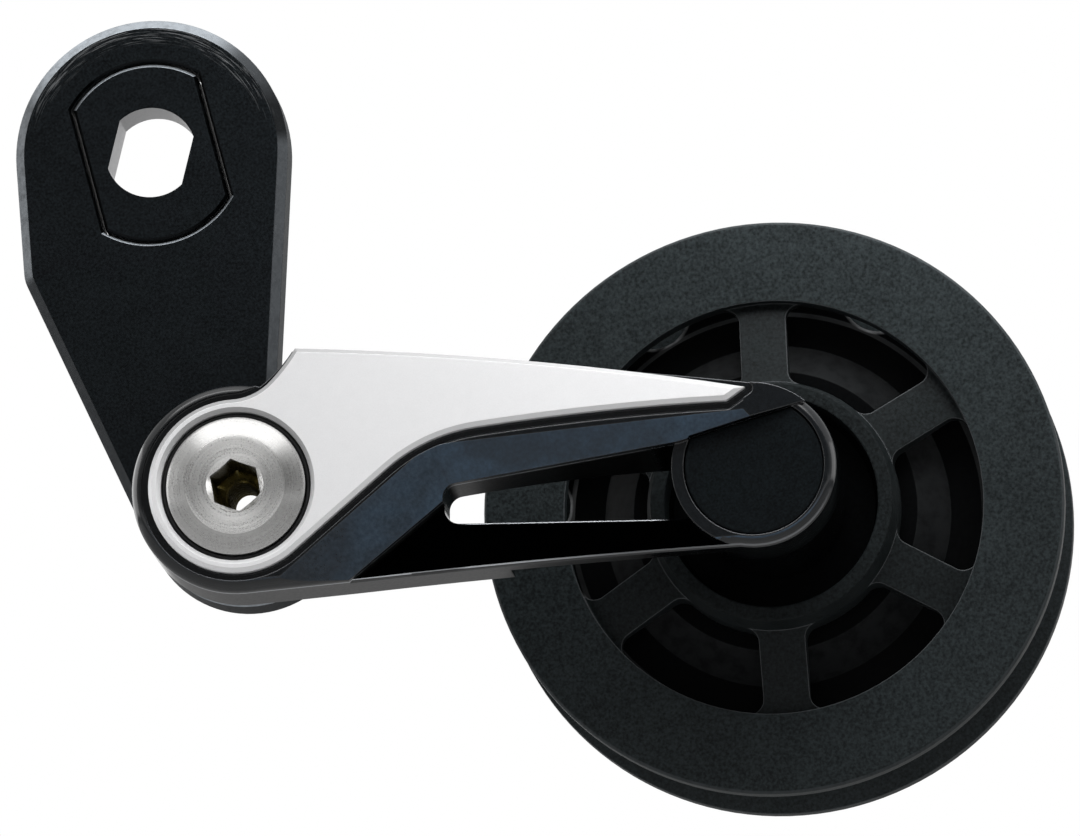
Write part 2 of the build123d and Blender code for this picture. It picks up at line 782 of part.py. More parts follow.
# Cap pressed into the front of the end boss, with a straight side along the upper rail.
with BuildPart() as axle_cap:
    with BuildSketch(Plane.XZ.offset(cap_seat)):
        cap_outline(cap_radius, cap_chord)
    extrude(amount=cap_thickness)
    fillet(axle_cap.faces().sort_by(Axis.Y)[0].edges(), cap_edge_round)
save(axle_cap.part, "axle_cap")

# Pulley axle bolt, screwed into the arm from behind.
axle_head_rear = axle_head_front - axle_head_height
with BuildPart() as axle_bolt:
    turned(
        wheel,
        (0, axle_head_rear),
        (axle_head_radius - axle_head_bevel, axle_head_rear),
        (axle_head_radius, axle_head_rear + axle_head_bevel),
        (axle_head_radius, axle_head_front),
        (axle_shank_radius, axle_head_front),
        (axle_shank_radius, rear_boss_end + axle_thread_length - axle_end_gap),
        (0, rear_boss_end + axle_thread_length - axle_end_gap),
    )
    hex_socket(wheel, axle_hex_width, 0, axle_head_rear, axle_head_rear + axle_hex_depth)
save(axle_bolt.part, "axle_bolt")

# Sleeve on the axle bolt, on which the pulley runs.
axle_hole_radius = axle_shank_radius + thread_clearance
with BuildPart() as axle_sleeve:
    ring(wheel, axle_hole_radius, sleeve_radius, sleeve_rear, sleeve_front)
save(axle_sleeve.part, "axle_sleeve")

# Dust caps clamped on both ends of the sleeve, their rims turned towards the pulley.
with BuildPart() as front_dust_cap:
    turned(
        wheel,
        (axle_hole_radius, sleeve_front),
        (dust_cap_radius - dust_cap_thickness, sleeve_front),
        (dust_cap_radius - dust_cap_thickness, sleeve_front - dust_cap_lip),
        (dust_cap_radius, sleeve_front - dust_cap_lip),
        (dust_cap_radius, rear_boss_end),
        (axle_hole_radius, rear_boss_end),
    )
save(front_dust_cap.part, "front_dust_cap")

with BuildPart() as rear_dust_cap:
    turned(
        wheel,
        (axle_hole_radius, sleeve_rear),
        (dust_cap_radius - dust_cap_thickness, sleeve_rear),
        (dust_cap_radius - dust_cap_thickness, sleeve_rear + dust_cap_lip),
        (dust_cap_radius, sleeve_rear + dust_cap_lip),
        (dust_cap_radius, axle_washer_front),
        (axle_hole_radius, axle_washer_front),
    )
save(rear_dust_cap.part, "rear_dust_cap")

# Washer under the head of the axle bolt.
with BuildPart() as axle_washer:
    ring(wheel, axle_hole_radius, axle_washer_radius, axle_head_front, axle_washer_front)
save(axle_washer.part, "axle_washer")

# Guide pulley: a moulded wheel with a thick hub, a sloping web and thin teeth.
hub_half = guard_spacing / 2
rim_half = pulley_rim_thickness / 2
tooth_half = tooth_thickness / 2
tip_half = tooth_tip_thickness / 2
root_radius = pitch_radius - roller_pocket_radius
tip_radius = pitch_radius + tooth_height
flank_turn = math.radians(tooth_flank_angle)
flank_foot = (
    -roller_pocket_radius * math.sin(flank_turn),
    roller_pocket_radius * math.cos(flank_turn),
)
flank_out = 2 * tooth_height
flank_top = (flank_out, flank_foot[1] + (flank_out - flank_foot[0]) * math.tan(flank_turn))
tooth_gap = [flank_foot, (flank_foot[0], -flank_foot[1]), (flank_top[0], -flank_top[1]), flank_top]
with BuildPart() as pulley:
    with BuildSketch(section_plane(wheel)):
        with BuildLine():
            half_profile = [
                (liner_radius, hub_half),
                (pulley_hub_radius, hub_half),
                (pulley_slope_radius, rim_half),
                (root_radius - pulley_rim_width, rim_half),
                (root_radius, tooth_half),
                (pitch_radius, tooth_half),
                (tip_radius, tip_half),
            ]
            Polyline(
                *[(radius, wheel_level + half) for radius, half in half_profile],
                *[(radius, wheel_level - half) for radius, half in reversed(half_profile)],
                close=True,
            )
        make_face()
    revolve(axis=turning_axis(wheel))
    with BuildSketch(Plane.XZ.offset(hub_rear)):
        with Locations(wheel):
            with PolarLocations(pitch_radius, tooth_count, start_angle=pulley_turn):
                Circle(roller_pocket_radius)
                Polygon(*tooth_gap, align=None)
    extrude(amount=guard_spacing, mode=Mode.SUBTRACT)
    with BuildSketch(Plane.XZ.offset(hub_rear)):
        with Locations(wheel):
            with PolarLocations(guard_screw_circle, guard_screw_count, start_angle=guard_turn):
                Circle(guard_screw_radius + guard_screw_clearance)
    extrude(amount=guard_spacing, mode=Mode.SUBTRACT)
save(pulley.part, "pulley")

# Bearing liner moulded into the pulley.
with BuildPart() as hub_liner:
    ring(wheel, liner_bore, liner_radius, hub_rear, hub_front)
save(hub_liner.part, "hub_liner")


def guard_ring(side, collar_height):
    """Spoked ring beside the pulley, in front (1) or behind (-1), with a collar about its hub."""
    inner = guard_spacing / 2
    outer = inner + guard_thickness
    web = outer - guard_step
    profile = [
        (guard_hub_hole_radius, inner),
        (guard_radius - guard_lead_in_width, inner),
        (guard_radius, inner + guard_lead_in),
        (guard_radius, outer),
        (guard_inner_radius, outer),
        (guard_inner_radius, web),
        (guard_hub_radius, web + guard_spoke_rise),
        (guard_hub_radius - guard_collar_taper, outer + collar_height),
        (guard_hub_hole_radius, outer + collar_height),
    ]
    with BuildPart() as guard:
        with BuildSketch(section_plane(wheel)) as half_section:
            with BuildLine():
                Polyline(*[(radius, wheel_level + side * depth) for radius, depth in profile], close=True)
            make_face()
            corners = half_section.vertices()
            for radius, depth in (profile[3], profile[4], profile[7]):
                fillet(
                    corners.sort_by_distance((radius, wheel_level + side * depth))[0], guard_edge_round
                )
        revolve(axis=turning_axis(wheel))
        with BuildSketch(Plane.XZ.offset(wheel_level)) as windows:
            with Locations(wheel):
                Circle(guard_inner_radius)
                Circle(guard_hub_radius, mode=Mode.SUBTRACT)
                with PolarLocations(0, guard_spoke_count // 2, start_angle=guard_turn):
                    Rectangle(2 * guard_radius, guard_spoke_width, mode=Mode.SUBTRACT)
            fillet(windows.vertices(), guard_window_round)
        extrude(amount=side * guard_radius, mode=Mode.SUBTRACT)
    return guard.part


# Guard rings: the front one has a tall collar about the arm's boss.
screw_seat = hub_rear - guard_thickness + guard_screw_sink
screw_end = hub_front + guard_screw_bite
with BuildPart() as front_guard:
    add(guard_ring(1, guard_collar_height))
    with BuildSketch(Plane.XZ.offset(hub_front)):
        with Locations(wheel):
            with PolarLocations(guard_screw_circle, guard_screw_count, start_angle=guard_turn):
                Circle(guard_screw_radius)
    extrude(amount=guard_screw_bite, mode=Mode.SUBTRACT)
save(front_guard.part, "front_guard")

with BuildPart() as rear_guard:
    add(guard_ring(-1, guard_rear_collar_height))
    with BuildSketch(Plane.XZ.offset(hub_rear)):
        with Locations(wheel):
            with PolarLocations(guard_screw_circle, guard_screw_count, start_angle=guard_turn):
                Circle(guard_screw_radius + guard_screw_clearance)
    extrude(amount=-guard_thickness, mode=Mode.SUBTRACT)
    with BuildSketch(Plane.XZ.offset(screw_seat)):
        with Locations(wheel):
            with PolarLocations(guard_screw_circle, guard_screw_count, start_angle=guard_turn):
                Circle(guard_screw_head_radius + guard_screw_clearance)
    extrude(amount=-guard_thickness, mode=Mode.SUBTRACT)
save(rear_guard.part, "rear_guard")

# Screws through the rear guard and the pulley into the front guard.
for number in range(guard_screw_count):
    screw = around(wheel, guard_screw_circle, guard_turn + 360 / guard_screw_count * number)
    head_rear = screw_seat - guard_screw_head_height
    with BuildPart() as guard_screw:
        turned(
            screw,
            (0, head_rear),
            (guard_screw_head_radius - guard_screw_head_bevel, head_rear),
            (guard_screw_head_radius, head_rear + guard_screw_head_bevel),
            (guard_screw_head_radius, screw_seat),
            (guard_screw_radius, screw_seat),
            (guard_screw_radius, screw_end),
            (0, screw_end),
        )
    save(guard_screw.part, f"guard_screw_{number + 1}")
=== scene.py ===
"""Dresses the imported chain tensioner: finishes for its parts, a turned pivot bolt, screws and a studio."""

import json
import math

import bpy
import numpy as np
from bpy.props import FloatProperty, FloatVectorProperty, IntProperty, PointerProperty
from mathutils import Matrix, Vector


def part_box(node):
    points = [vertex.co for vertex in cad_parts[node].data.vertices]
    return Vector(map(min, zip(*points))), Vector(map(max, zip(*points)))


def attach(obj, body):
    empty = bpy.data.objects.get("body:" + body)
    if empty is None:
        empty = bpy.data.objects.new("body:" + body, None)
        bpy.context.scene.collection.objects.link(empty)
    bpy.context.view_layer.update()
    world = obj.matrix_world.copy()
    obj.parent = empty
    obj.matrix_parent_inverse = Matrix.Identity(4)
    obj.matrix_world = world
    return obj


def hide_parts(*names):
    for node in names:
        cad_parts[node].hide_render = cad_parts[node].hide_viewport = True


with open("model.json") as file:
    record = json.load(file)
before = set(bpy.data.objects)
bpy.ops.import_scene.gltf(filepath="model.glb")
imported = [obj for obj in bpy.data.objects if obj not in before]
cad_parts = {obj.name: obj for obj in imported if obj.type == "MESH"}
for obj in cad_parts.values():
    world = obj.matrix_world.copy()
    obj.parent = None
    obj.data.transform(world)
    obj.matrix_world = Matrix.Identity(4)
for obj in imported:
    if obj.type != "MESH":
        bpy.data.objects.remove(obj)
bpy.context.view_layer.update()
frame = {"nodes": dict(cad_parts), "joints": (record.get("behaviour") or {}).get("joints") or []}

bl_info = {
    "name": "Chain tensioner dress",
    "version": (1, 0, 0),
    "blender": (4, 5, 0),
    "location": "3D View > Sidebar > Tensioner",
    "description": "Finishes, turned fasteners and studio for a bicycle chain tensioner",
    "category": "Object",
}

JOINTS = {joint["name"]: joint for joint in frame["joints"]}
PIVOT = JOINTS["arm_pivot"]["pos_m"]
HUB = JOINTS["wheel_spin"]["pos_m"]
BOLT_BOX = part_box("pivot_bolt")
SCREW_NODES = ("guard_screw_1", "guard_screw_2", "guard_screw_3")

# Pivot bolt: lead-in of its ends, softness of its head's edges, bulge of its bevel, rings in its thread.
BOLT_LEAD = 0.00022
BOLT_SOFT = 0.00008
BOLT_BULGE = 0.00003
THREAD_RINGS = 150

# Grease in the pivot bolt: its reach from the axis, and the depths at which it starts and is full.
GREASE_REACH = 0.0030
GREASE_START = 0.0004
GREASE_FULL = 0.0016

# Length of a guard screw's point.
SCREW_POINT = 0.0004

# Faces of a new piece that meet at a larger angle than this keep a sharp edge.
SHARP_ANGLE = math.radians(32)

# Levels in the arm: where its front gives way to its pocket, and the crest of the lip below the pocket.
ARM_STEP = -0.0122
LIP_CREST = -0.01248

# Lower edge of the arm's slot: its height, where it starts and where it ends.
SLOT_FOOT = -0.04245
SLOT_START = 0.0338
SLOT_END = 0.0565

# Outer reach of the bevel round the cover's hole.
COVER_HOLE = 0.0088

# Largest reach of the axle hole's wall and of the insert's recess from their middle.
AXLE_HOLE = 0.0051
INSERT_REACH = 0.0106

# Scuffs round the bracket's head: their inner and outer reach, and the heights between which they fade in.
SCUFF_INNER = 0.0118
SCUFF_OUTER = 0.0146
SCUFF_RISE = (0.002, 0.009)

# Inner radius of the guard rings' rims, and the reach of their hubs.
GUARD_RING = 0.0226
GUARD_HUB = 0.0132

# Roller pockets of the pulley: how many, the angle of the first, their pitch radius and their own radius.
POCKETS = 13
POCKET_TURN = math.radians(10.2)
PITCH_RADIUS = 0.02653
POCKET_RADIUS = 0.00395

# Range of the grain's tone on a finish, in multiples of its colour.
MOULDED_TONES = (0.45, 1.7)
ARM_TONES = (0.8, 1.25)
COVER_TONES = (0.965, 1.03)
PULLEY_TONES = (0.85, 1.18)

# Colours of wear and of dirt, and of painted highlights on edges, bevels and pocket rims. The bracket's rubbed
# metal is both wear and painted highlight.
RUBBED_METAL_AND_HIGHLIGHT = (0.30, 0.325, 0.35)
BARE_METAL = (0.42, 0.42, 0.425)
SCUFFED_COAT = (0.15, 0.155, 0.16)
PAINTED_EDGE_HIGHLIGHT = (0.55, 0.57, 0.6)
GREASE = (0.16, 0.14, 0.07)
POCKET_RIM_HIGHLIGHT = (0.20, 0.205, 0.21)
PULLEY_EDGE_HIGHLIGHT = (0.025, 0.027, 0.028)
GUARD_EDGE_HIGHLIGHT = (0.045, 0.05, 0.053)
WINDOW_EDGE_HIGHLIGHT = (0.09, 0.095, 0.1)
WASHER_EDGE_HIGHLIGHT = (0.08, 0.08, 0.085)
SEAL_EDGE_HIGHLIGHT = (0.02, 0.02, 0.02)
CAP_EDGE_HIGHLIGHT = (0.02, 0.023, 0.025)

# Samples of the nodes that soften edges in shading.
BEVEL_SAMPLES = 6

# Dim card: its distance in front of the part, half its width, and the heights of its two long edges.
CARD_AWAY = 1.2
CARD_HALF = 2.0
CARD_LOW = 0.11
CARD_HIGH = 0.75

# Half the width of the floor, and its colour.
FLOOR_HALF = 6.0
FLOOR_COLOUR = (0.85, 0.85, 0.85, 1.0)
WHITE = (1.0, 1.0, 1.0, 1.0)

SENSOR_WIDTH = 36.0
FLOAT, VECTOR = "NodeSocketFloat", "NodeSocketVector"
LENGTH = {"unit": "LENGTH", "precision": 5}


class BoltSizes(bpy.types.PropertyGroup):
    """Sizes of the turned pivot bolt."""

    face_radius: FloatProperty(
        name="Face radius", description="Flat front of the head", default=0.00535, **LENGTH
    )
    bevel_drop: FloatProperty(
        name="Bevel drop", description="How far the head falls to its rim", default=0.00075, **LENGTH
    )
    head_height: FloatProperty(
        name="Head height", description="Height of the head", default=0.0015, **LENGTH
    )
    shank_radius: FloatProperty(
        name="Shank radius", description="Radius below the head", default=0.004, **LENGTH
    )
    socket_width: FloatProperty(
        name="Socket width", description="Hexagon socket across its flats", default=0.005, **LENGTH
    )
    socket_depth: FloatProperty(
        name="Socket depth", description="Depth of the hexagon socket", default=0.006, **LENGTH
    )
    socket_turn: FloatProperty(
        name="Socket turn", description="Angle of a socket corner", default=math.radians(40), subtype="ANGLE"
    )
    mouth_radius: FloatProperty(
        name="Mouth radius", description="Countersink round the socket", default=0.00308, **LENGTH
    )
    bore_radius: FloatProperty(
        name="Bore radius", description="Hole through the bolt", default=0.0018, **LENGTH
    )
    thread_pitch: FloatProperty(
        name="Thread pitch", description="Pitch of the thread in the bore", default=0.001, **LENGTH
    )
    thread_depth: FloatProperty(
        name="Thread depth", description="Half height of that thread", default=0.00026, **LENGTH
    )
    steps_round: IntProperty(
        name="Steps round", description="Grid steps about the axis", default=192, min=24
    )


class ScrewSizes(bpy.types.PropertyGroup):
    """Sizes of the small screws that hold the guard rings."""

    head_radius: FloatProperty(
        name="Head radius", description="Radius of the head", default=0.0017, **LENGTH
    )
    head_height: FloatProperty(
        name="Head height", description="Height of the head", default=0.0009, **LENGTH
    )
    shank_radius: FloatProperty(
        name="Shank radius", description="Radius of the shank", default=0.0009, **LENGTH
    )
    recess_depth: FloatProperty(
        name="Recess depth", description="Depth of the cross recess", default=0.0006, **LENGTH
    )
    recess_width: FloatProperty(
        name="Recess width", description="Width of one slot of the cross", default=0.00042, **LENGTH
    )
    steps_round: IntProperty(
        name="Steps round", description="Grid steps about the axis", default=64, min=16
    )


class Colours(bpy.types.PropertyGroup):
    """Base colours of the finishes."""

    bracket: FloatVectorProperty(
        name="Bracket", description="Matt black coating", default=(0.0054, 0.0070, 0.0082), subtype="COLOR"
    )
    arm: FloatVectorProperty(
        name="Arm", description="Gloss black paint", default=(0.0030, 0.0042, 0.0054), subtype="COLOR"
    )
    # A painted reflection: the lighter blue that the arm's sloping facets are coloured with.
    facet_reflection: FloatVectorProperty(
        name="Facet",
        description="Paint on the arm's sloping facets",
        default=(0.0125, 0.0260, 0.0430),
        subtype="COLOR",
    )
    # Painted shade: the near black of the arm's pocket and of the dust caps.
    recess: FloatVectorProperty(
        name="Recess",
        description="Paint down in the arm's pocket, and the dust caps",
        default=(0.0008, 0.0010, 0.0012),
        subtype="COLOR",
    )
    cover: FloatVectorProperty(
        name="Cover", description="Satin silver", default=(0.89, 0.89, 0.90), subtype="COLOR"
    )
    bolt: FloatVectorProperty(
        name="Bolt", description="Turned steel", default=(0.76, 0.755, 0.745), subtype="COLOR"
    )
    steel: FloatVectorProperty(
        name="Steel", description="Plated steel", default=(0.56, 0.56, 0.57), subtype="COLOR"
    )
    spring: FloatVectorProperty(
        name="Spring", description="Drawn wire", default=(0.30, 0.30, 0.32), subtype="COLOR"
    )
    washer: FloatVectorProperty(
        name="Washer", description="Bearing plastic", default=(0.05, 0.05, 0.055), subtype="COLOR"
    )
    seal: FloatVectorProperty(
        name="Seal", description="Black rubber", default=(0.012, 0.012, 0.013), subtype="COLOR"
    )
    cap: FloatVectorProperty(
        name="Cap", description="Matt black plastic", default=(0.0028, 0.0042, 0.0050), subtype="COLOR"
    )
    pulley: FloatVectorProperty(
        name="Pulley", description="Satin moulded plastic", default=(0.0018, 0.0020, 0.0022), subtype="COLOR"
    )
    guard: FloatVectorProperty(
        name="Guard", description="Grained moulded plastic", default=(0.0120, 0.0154, 0.0164), subtype="COLOR"
    )


class Studio(bpy.types.PropertyGroup):
    """Camera, floor and light."""

    azimuth: FloatProperty(
        name="Azimuth", description="Camera's turn from the front", default=math.radians(6.038), subtype="ANGLE"
    )
    elevation: FloatProperty(
        name="Elevation", description="Camera's height angle", default=math.radians(-11.549), subtype="ANGLE"
    )
    distance: FloatProperty(
        name="Distance", description="Camera to its target", default=2.0, unit="LENGTH"
    )
    target: FloatVectorProperty(
        name="Target",
        description="Point in the middle of the picture",
        default=(0.041428, -0.000014, -0.028856),
        subtype="TRANSLATION",
        precision=6,
    )
    lens: FloatProperty(name="Lens", description="Focal length in millimetres", default=622.67)
    floor_level: FloatProperty(
        name="Floor level", description="Height of the floor", default=-0.165, unit="LENGTH"
    )
    card: FloatProperty(name="Card", description="Brightness of the dim card in front", default=0.15)
    card_ends: FloatProperty(name="Card ends", description="Brightness of that card's ends", default=0.55)
    sky: FloatProperty(name="Sky", description="Strength of the soft light all round", default=0.28)


def solid(name, grid, ends=None):
    """Closed mesh from a grid of points with rows round an axis; the rows' last step joins the first.

    The first and last columns either join each other (a ring-shaped solid) or close on the two
    points in ends (a solid with poles).
    """
    rows, columns = grid.shape[:2]
    points = grid.reshape(-1, 3)
    row = np.arange(rows)[:, None]
    turn = (row + 1) % rows
    if ends is None:
        column = np.arange(columns)[None, :]
        after = (column + 1) % columns
    else:
        column = np.arange(columns - 1)[None, :]
        after = column + 1
    here, beyond = row * columns, turn * columns
    quads = np.stack([here + column, beyond + column, beyond + after, here + after], axis=-1)
    faces = quads.reshape(-1, 4).tolist()
    if ends is not None:
        points = np.vstack([points, np.asarray(ends, float)])
        first = np.full(rows, rows * columns)
        last = first + 1
        around = np.arange(rows) * columns
        onward = np.roll(around, -1)
        edge = columns - 1
        faces += np.stack([first, onward, around], axis=-1).tolist()
        faces += np.stack([last, around + edge, onward + edge], axis=-1).tolist()
    mesh = bpy.data.meshes.new(name)
    mesh.from_pydata(points.tolist(), [], faces)
    mesh.validate()
    mesh.update()
    return mesh


def turned_uv(mesh, centre):
    """UV map for a turned piece: u is the angle about an axis along Y, v the distance from its front's middle.

    Angles run from 0 to 1. In a face across the seam, the small ones go on past 1.
    """
    layer = mesh.uv_layers.new(name="turned")
    corners = np.empty(len(mesh.loops), np.int32)
    mesh.loops.foreach_get("vertex_index", corners)
    places = np.empty(len(mesh.vertices) * 3)
    mesh.vertices.foreach_get("co", places)
    places = places.reshape(-1, 3)[corners]
    across, up = places[:, 0] - centre[0], places[:, 2] - centre[2]
    angle = np.arctan2(up, across) / (2 * math.pi) % 1.0
    starts = np.empty(len(mesh.polygons), np.int32)
    mesh.polygons.foreach_get("loop_start", starts)
    counts = np.empty(len(mesh.polygons), np.int32)
    mesh.polygons.foreach_get("loop_total", counts)
    largest = np.repeat(np.maximum.reduceat(angle, starts), counts)
    angle = np.where(largest - angle > 0.5, angle + 1.0, angle)
    reach = np.hypot(across, up) + np.abs(places[:, 1] - centre[1])
    layer.data.foreach_set("uv", np.stack([angle, reach * 10], axis=-1).ravel())


def place(mesh, name, node, body, slot, material):
    """Puts a new piece in the scene for a CAD node, on the node's body."""
    mesh.polygons.foreach_set("use_smooth", np.ones(len(mesh.polygons), bool))
    mesh.set_sharp_from_angle(angle=SHARP_ANGLE)
    mesh.materials.append(material)
    piece = bpy.data.objects.new(name, mesh)
    bpy.context.scene.collection.objects.link(piece)
    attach(piece, body)
    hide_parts(node)


def hexagon(angle, width, corner_angle):
    """Distance from a hexagon's centre to its edge: half its width over the cosine of the angle from a flat."""
    from_flat = (angle - corner_angle) % (math.pi / 3) - math.pi / 6
    return width / 2 / np.cos(from_flat)


def bolt_surface(sizes, lo, hi):
    """Pivot bolt as rings about its axis, one ring for each step along a closed half section.

    A ring's radius is the section's own, except in the socket, where it is the hexagon's, and in the
    bore, where a wave that turns once in each pitch is added to it as the thread. Between the round
    mouth and the hexagon a ring lies on a cone, so it is deeper at the flats than at the corners.
    """
    axis = ((lo.x + hi.x) / 2, (lo.z + hi.z) / 2)
    head = (hi.x - lo.x) / 2
    front, rear = -lo.y, -hi.y
    rim = front - sizes.bevel_drop
    seat = front - sizes.head_height
    floor = front - sizes.socket_depth
    face, mouth, shank, bore = sizes.face_radius, sizes.mouth_radius, sizes.shank_radius, sizes.bore_radius
    angle = np.linspace(0, 2 * math.pi, sizes.steps_round, endpoint=False) + sizes.socket_turn
    socket = hexagon(angle, sizes.socket_width, sizes.socket_turn)
    plain = np.ones_like(angle)
    radii, levels = [], []

    def ring(radius, level):
        radii.append(radius * plain)
        levels.append(level * plain)

    # Rear end, shank, and the outside of the head.
    ring(bore, rear)
    ring(shank - BOLT_LEAD, rear)
    ring(shank, rear + BOLT_LEAD)
    ring(shank, seat)
    ring(head - BOLT_SOFT, seat)
    ring(head, seat + BOLT_SOFT)
    ring(head, rim - BOLT_SOFT)

    # Bevel, flat face, and the countersink down to the socket.
    for share in np.linspace(0, 1, 9):
        bulge = BOLT_BULGE * math.sin(math.pi * share)
        ring(
            head - BOLT_SOFT + (face - head + 2 * BOLT_SOFT) * share,
            rim + (front - rim - BOLT_SOFT / 2) * share + bulge,
        )
    for share in np.linspace(0, 1, 7):
        ring(face - BOLT_SOFT + (mouth - face + BOLT_SOFT) * share, front)
    for share in np.linspace(0.2, 1, 5):
        edge = mouth + (socket - mouth) * share
        ring(edge, front - mouth + edge)

    # Socket, and the bore with its thread, which fades out at both ends.
    ring(socket, floor + BOLT_LEAD)
    ring(socket - BOLT_LEAD / 2, floor)
    ring((socket + bore) / 2, floor - BOLT_LEAD)
    top, foot = floor - 3 * BOLT_LEAD, rear + BOLT_LEAD
    for level in np.linspace(top, foot, THREAD_RINGS):
        fade = min(1.0, (top - level) / BOLT_LEAD, (level - foot) / BOLT_LEAD)
        wave = np.sin(2 * math.pi * level / sizes.thread_pitch + angle)
        ring(bore + fade * sizes.thread_depth * wave, level)

    radius = np.stack(radii, axis=1)
    level = np.stack(levels, axis=1)
    around = angle[:, None]
    return np.stack(
        [axis[0] + radius * np.cos(around), -level, axis[1] + radius * np.sin(around)], axis=-1
    )


def screw_surface(sizes, lo, hi):
    """Screw as rings about its axis, from the middle of its head to its tip, with a pole at each end.

    The head is a shallow dome. The recess is cut by lowering a point of the dome by the larger of two
    smooth troughs, one along each slot of the cross, both fading out towards the rim.
    """
    axis = ((lo.x + hi.x) / 2, (lo.z + hi.z) / 2)
    angle = np.linspace(0, 2 * math.pi, sizes.steps_round, endpoint=False)[:, None]
    seat = hi.y - sizes.head_height
    share = np.linspace(0.04, 1, 24)[None, :]
    reach = sizes.head_radius * np.sin(share * math.pi / 2)
    crown, brim = 0.45 * sizes.head_height, 0.3 * sizes.head_height
    dome = crown * (1 - np.cos(share * math.pi / 2)) + brim * share**8
    across, up = reach * np.cos(angle), reach * np.sin(angle)
    half = sizes.recess_width / 2
    end = 0.62 * sizes.head_radius

    def trough(along, aside):
        side = 1 / (1 + np.exp((np.abs(aside) - half) / (0.12 * half)))
        length = 1 / (1 + np.exp((np.abs(along) - end) / (0.08 * end)))
        return side * length * (1 - 0.5 * np.abs(along) / end)

    cut = sizes.recess_depth * np.maximum(trough(across, up), trough(up, across))
    head_y = hi.y - dome - np.clip(cut, 0, None)
    head = np.stack([axis[0] + across, head_y, axis[1] + up], axis=-1)
    shank = np.array(
        [
            (sizes.head_radius, seat),
            (sizes.shank_radius, seat),
            (sizes.shank_radius, lo.y + SCREW_POINT),
            (0.6 * sizes.shank_radius, lo.y),
        ]
    )
    body = np.stack(
        [
            axis[0] + shank[None, :, 0] * np.cos(angle),
            np.broadcast_to(shank[None, :, 1], (sizes.steps_round, len(shank))),
            axis[1] + shank[None, :, 0] * np.sin(angle),
        ],
        axis=-1,
    )
    ends = [(axis[0], hi.y - sizes.recess_depth, axis[1]), (axis[0], lo.y, axis[1])]
    return np.concatenate([head, body], axis=1), ends


class Nodes:
    """Writes a node tree: each call adds nodes, sets their values and links the sockets it is given."""

    def __init__(self, tree):
        self.tree = tree

    def feed(self, socket, value):
        """Links a socket to another one, or sets its own value."""
        if isinstance(value, bpy.types.NodeSocket):
            self.tree.links.new(value, socket)
        else:
            socket.default_value = value

    def add(self, kind, inputs=None, **settings):
        """A node with its settings made and its inputs fed."""
        made = self.tree.nodes.new(kind)
        for name, value in settings.items():
            setattr(made, name, value)
        for key, value in (inputs or {}).items():
            self.feed(made.inputs[key], value)
        return made

    def give(self, out, **values):
        """Links values to the outputs of a group, and gives the group."""
        for title, value in values.items():
            self.feed(out.inputs[title], value)
        return self.tree

    def maths(self, operation, first, second=0.0):
        return self.add("ShaderNodeMath", {0: first, 1: second}, operation=operation).outputs[0]

    def times(self, value, *others):
        """Product of values."""
        for other in others:
            value = self.maths("MULTIPLY", value, other)
        return value

    def most(self, value, *others):
        """Largest of some values."""
        for other in others:
            value = self.maths("MAXIMUM", value, other)
        return value

    def size(self, value):
        """A value without its sign."""
        return self.maths("ABSOLUTE", value)

    def away(self, value, level):
        """How far a value is from a level."""
        return self.size(self.maths("SUBTRACT", value, level))

    def ramp(self, value, low, high, start=0.0, stop=1.0, curve="LINEAR"):
        """Maps the range from low to high to the range from start to stop, along a straight line."""
        ends = {"From Min": low, "From Max": high, "To Min": start, "To Max": stop}
        made = self.add("ShaderNodeMapRange", {"Value": value, **ends}, interpolation_type=curve)
        return made.outputs["Result"]

    def fade(self, value, low, high, start=0.0, stop=1.0):
        """Maps a range as ramp does, with soft ends."""
        return self.ramp(value, low, high, start, stop, "SMOOTHSTEP")

    def mix(self, share, first, second):
        """Blend of two colours, each a socket or three numbers."""
        ends = [end if isinstance(end, bpy.types.NodeSocket) else (*end, 1.0) for end in (first, second)]
        return self.add("ShaderNodeMix", {0: share, 6: ends[0], 7: ends[1]}, data_type="RGBA").outputs[2]

    def noise(self, vector, scale, detail=2.0, roughness=0.5):
        inputs = {"Vector": vector, "Scale": scale, "Detail": detail, "Roughness": roughness}
        return self.add("ShaderNodeTexNoise", inputs).outputs["Fac"]

    def split(self, vector):
        """The three parts of a vector."""
        return self.add("ShaderNodeSeparateXYZ", {0: vector}).outputs

    def join(self, x, y, z):
        """A vector from its three parts."""
        return self.add("ShaderNodeCombineXYZ", {0: x, 1: y, 2: z}).outputs[0]

    def polar(self, vector, centre_x, centre_z):
        """Radius and angle about an axis along Y, and the depth along it."""
        x, y, z = self.split(vector)
        across = self.maths("SUBTRACT", x, centre_x)
        up = self.maths("SUBTRACT", z, centre_z)
        square = self.maths("ADD", self.times(across, across), self.times(up, up))
        return self.maths("SQRT", square), self.maths("ARCTAN2", up, across), y


def node_group(name, inputs, outputs):
    """Empty shader node group with named sockets; gives the writer, the input sockets and the output node.

    Every group takes a Vector, the place that it is worked out for.
    """
    tree = bpy.data.node_groups.new(name, "ShaderNodeTree")
    tree.interface.new_socket("Vector", in_out="INPUT", socket_type=VECTOR)
    for title, default in inputs.items():
        kind = VECTOR if default is None else FLOAT
        socket = tree.interface.new_socket(title, in_out="INPUT", socket_type=kind)
        if default is not None:
            socket.default_value = default
    for title in outputs:
        tree.interface.new_socket(title, in_out="OUTPUT", socket_type=FLOAT)
    writer = Nodes(tree)
    return writer, writer.add("NodeGroupInput").outputs, writer.add("NodeGroupOutput")


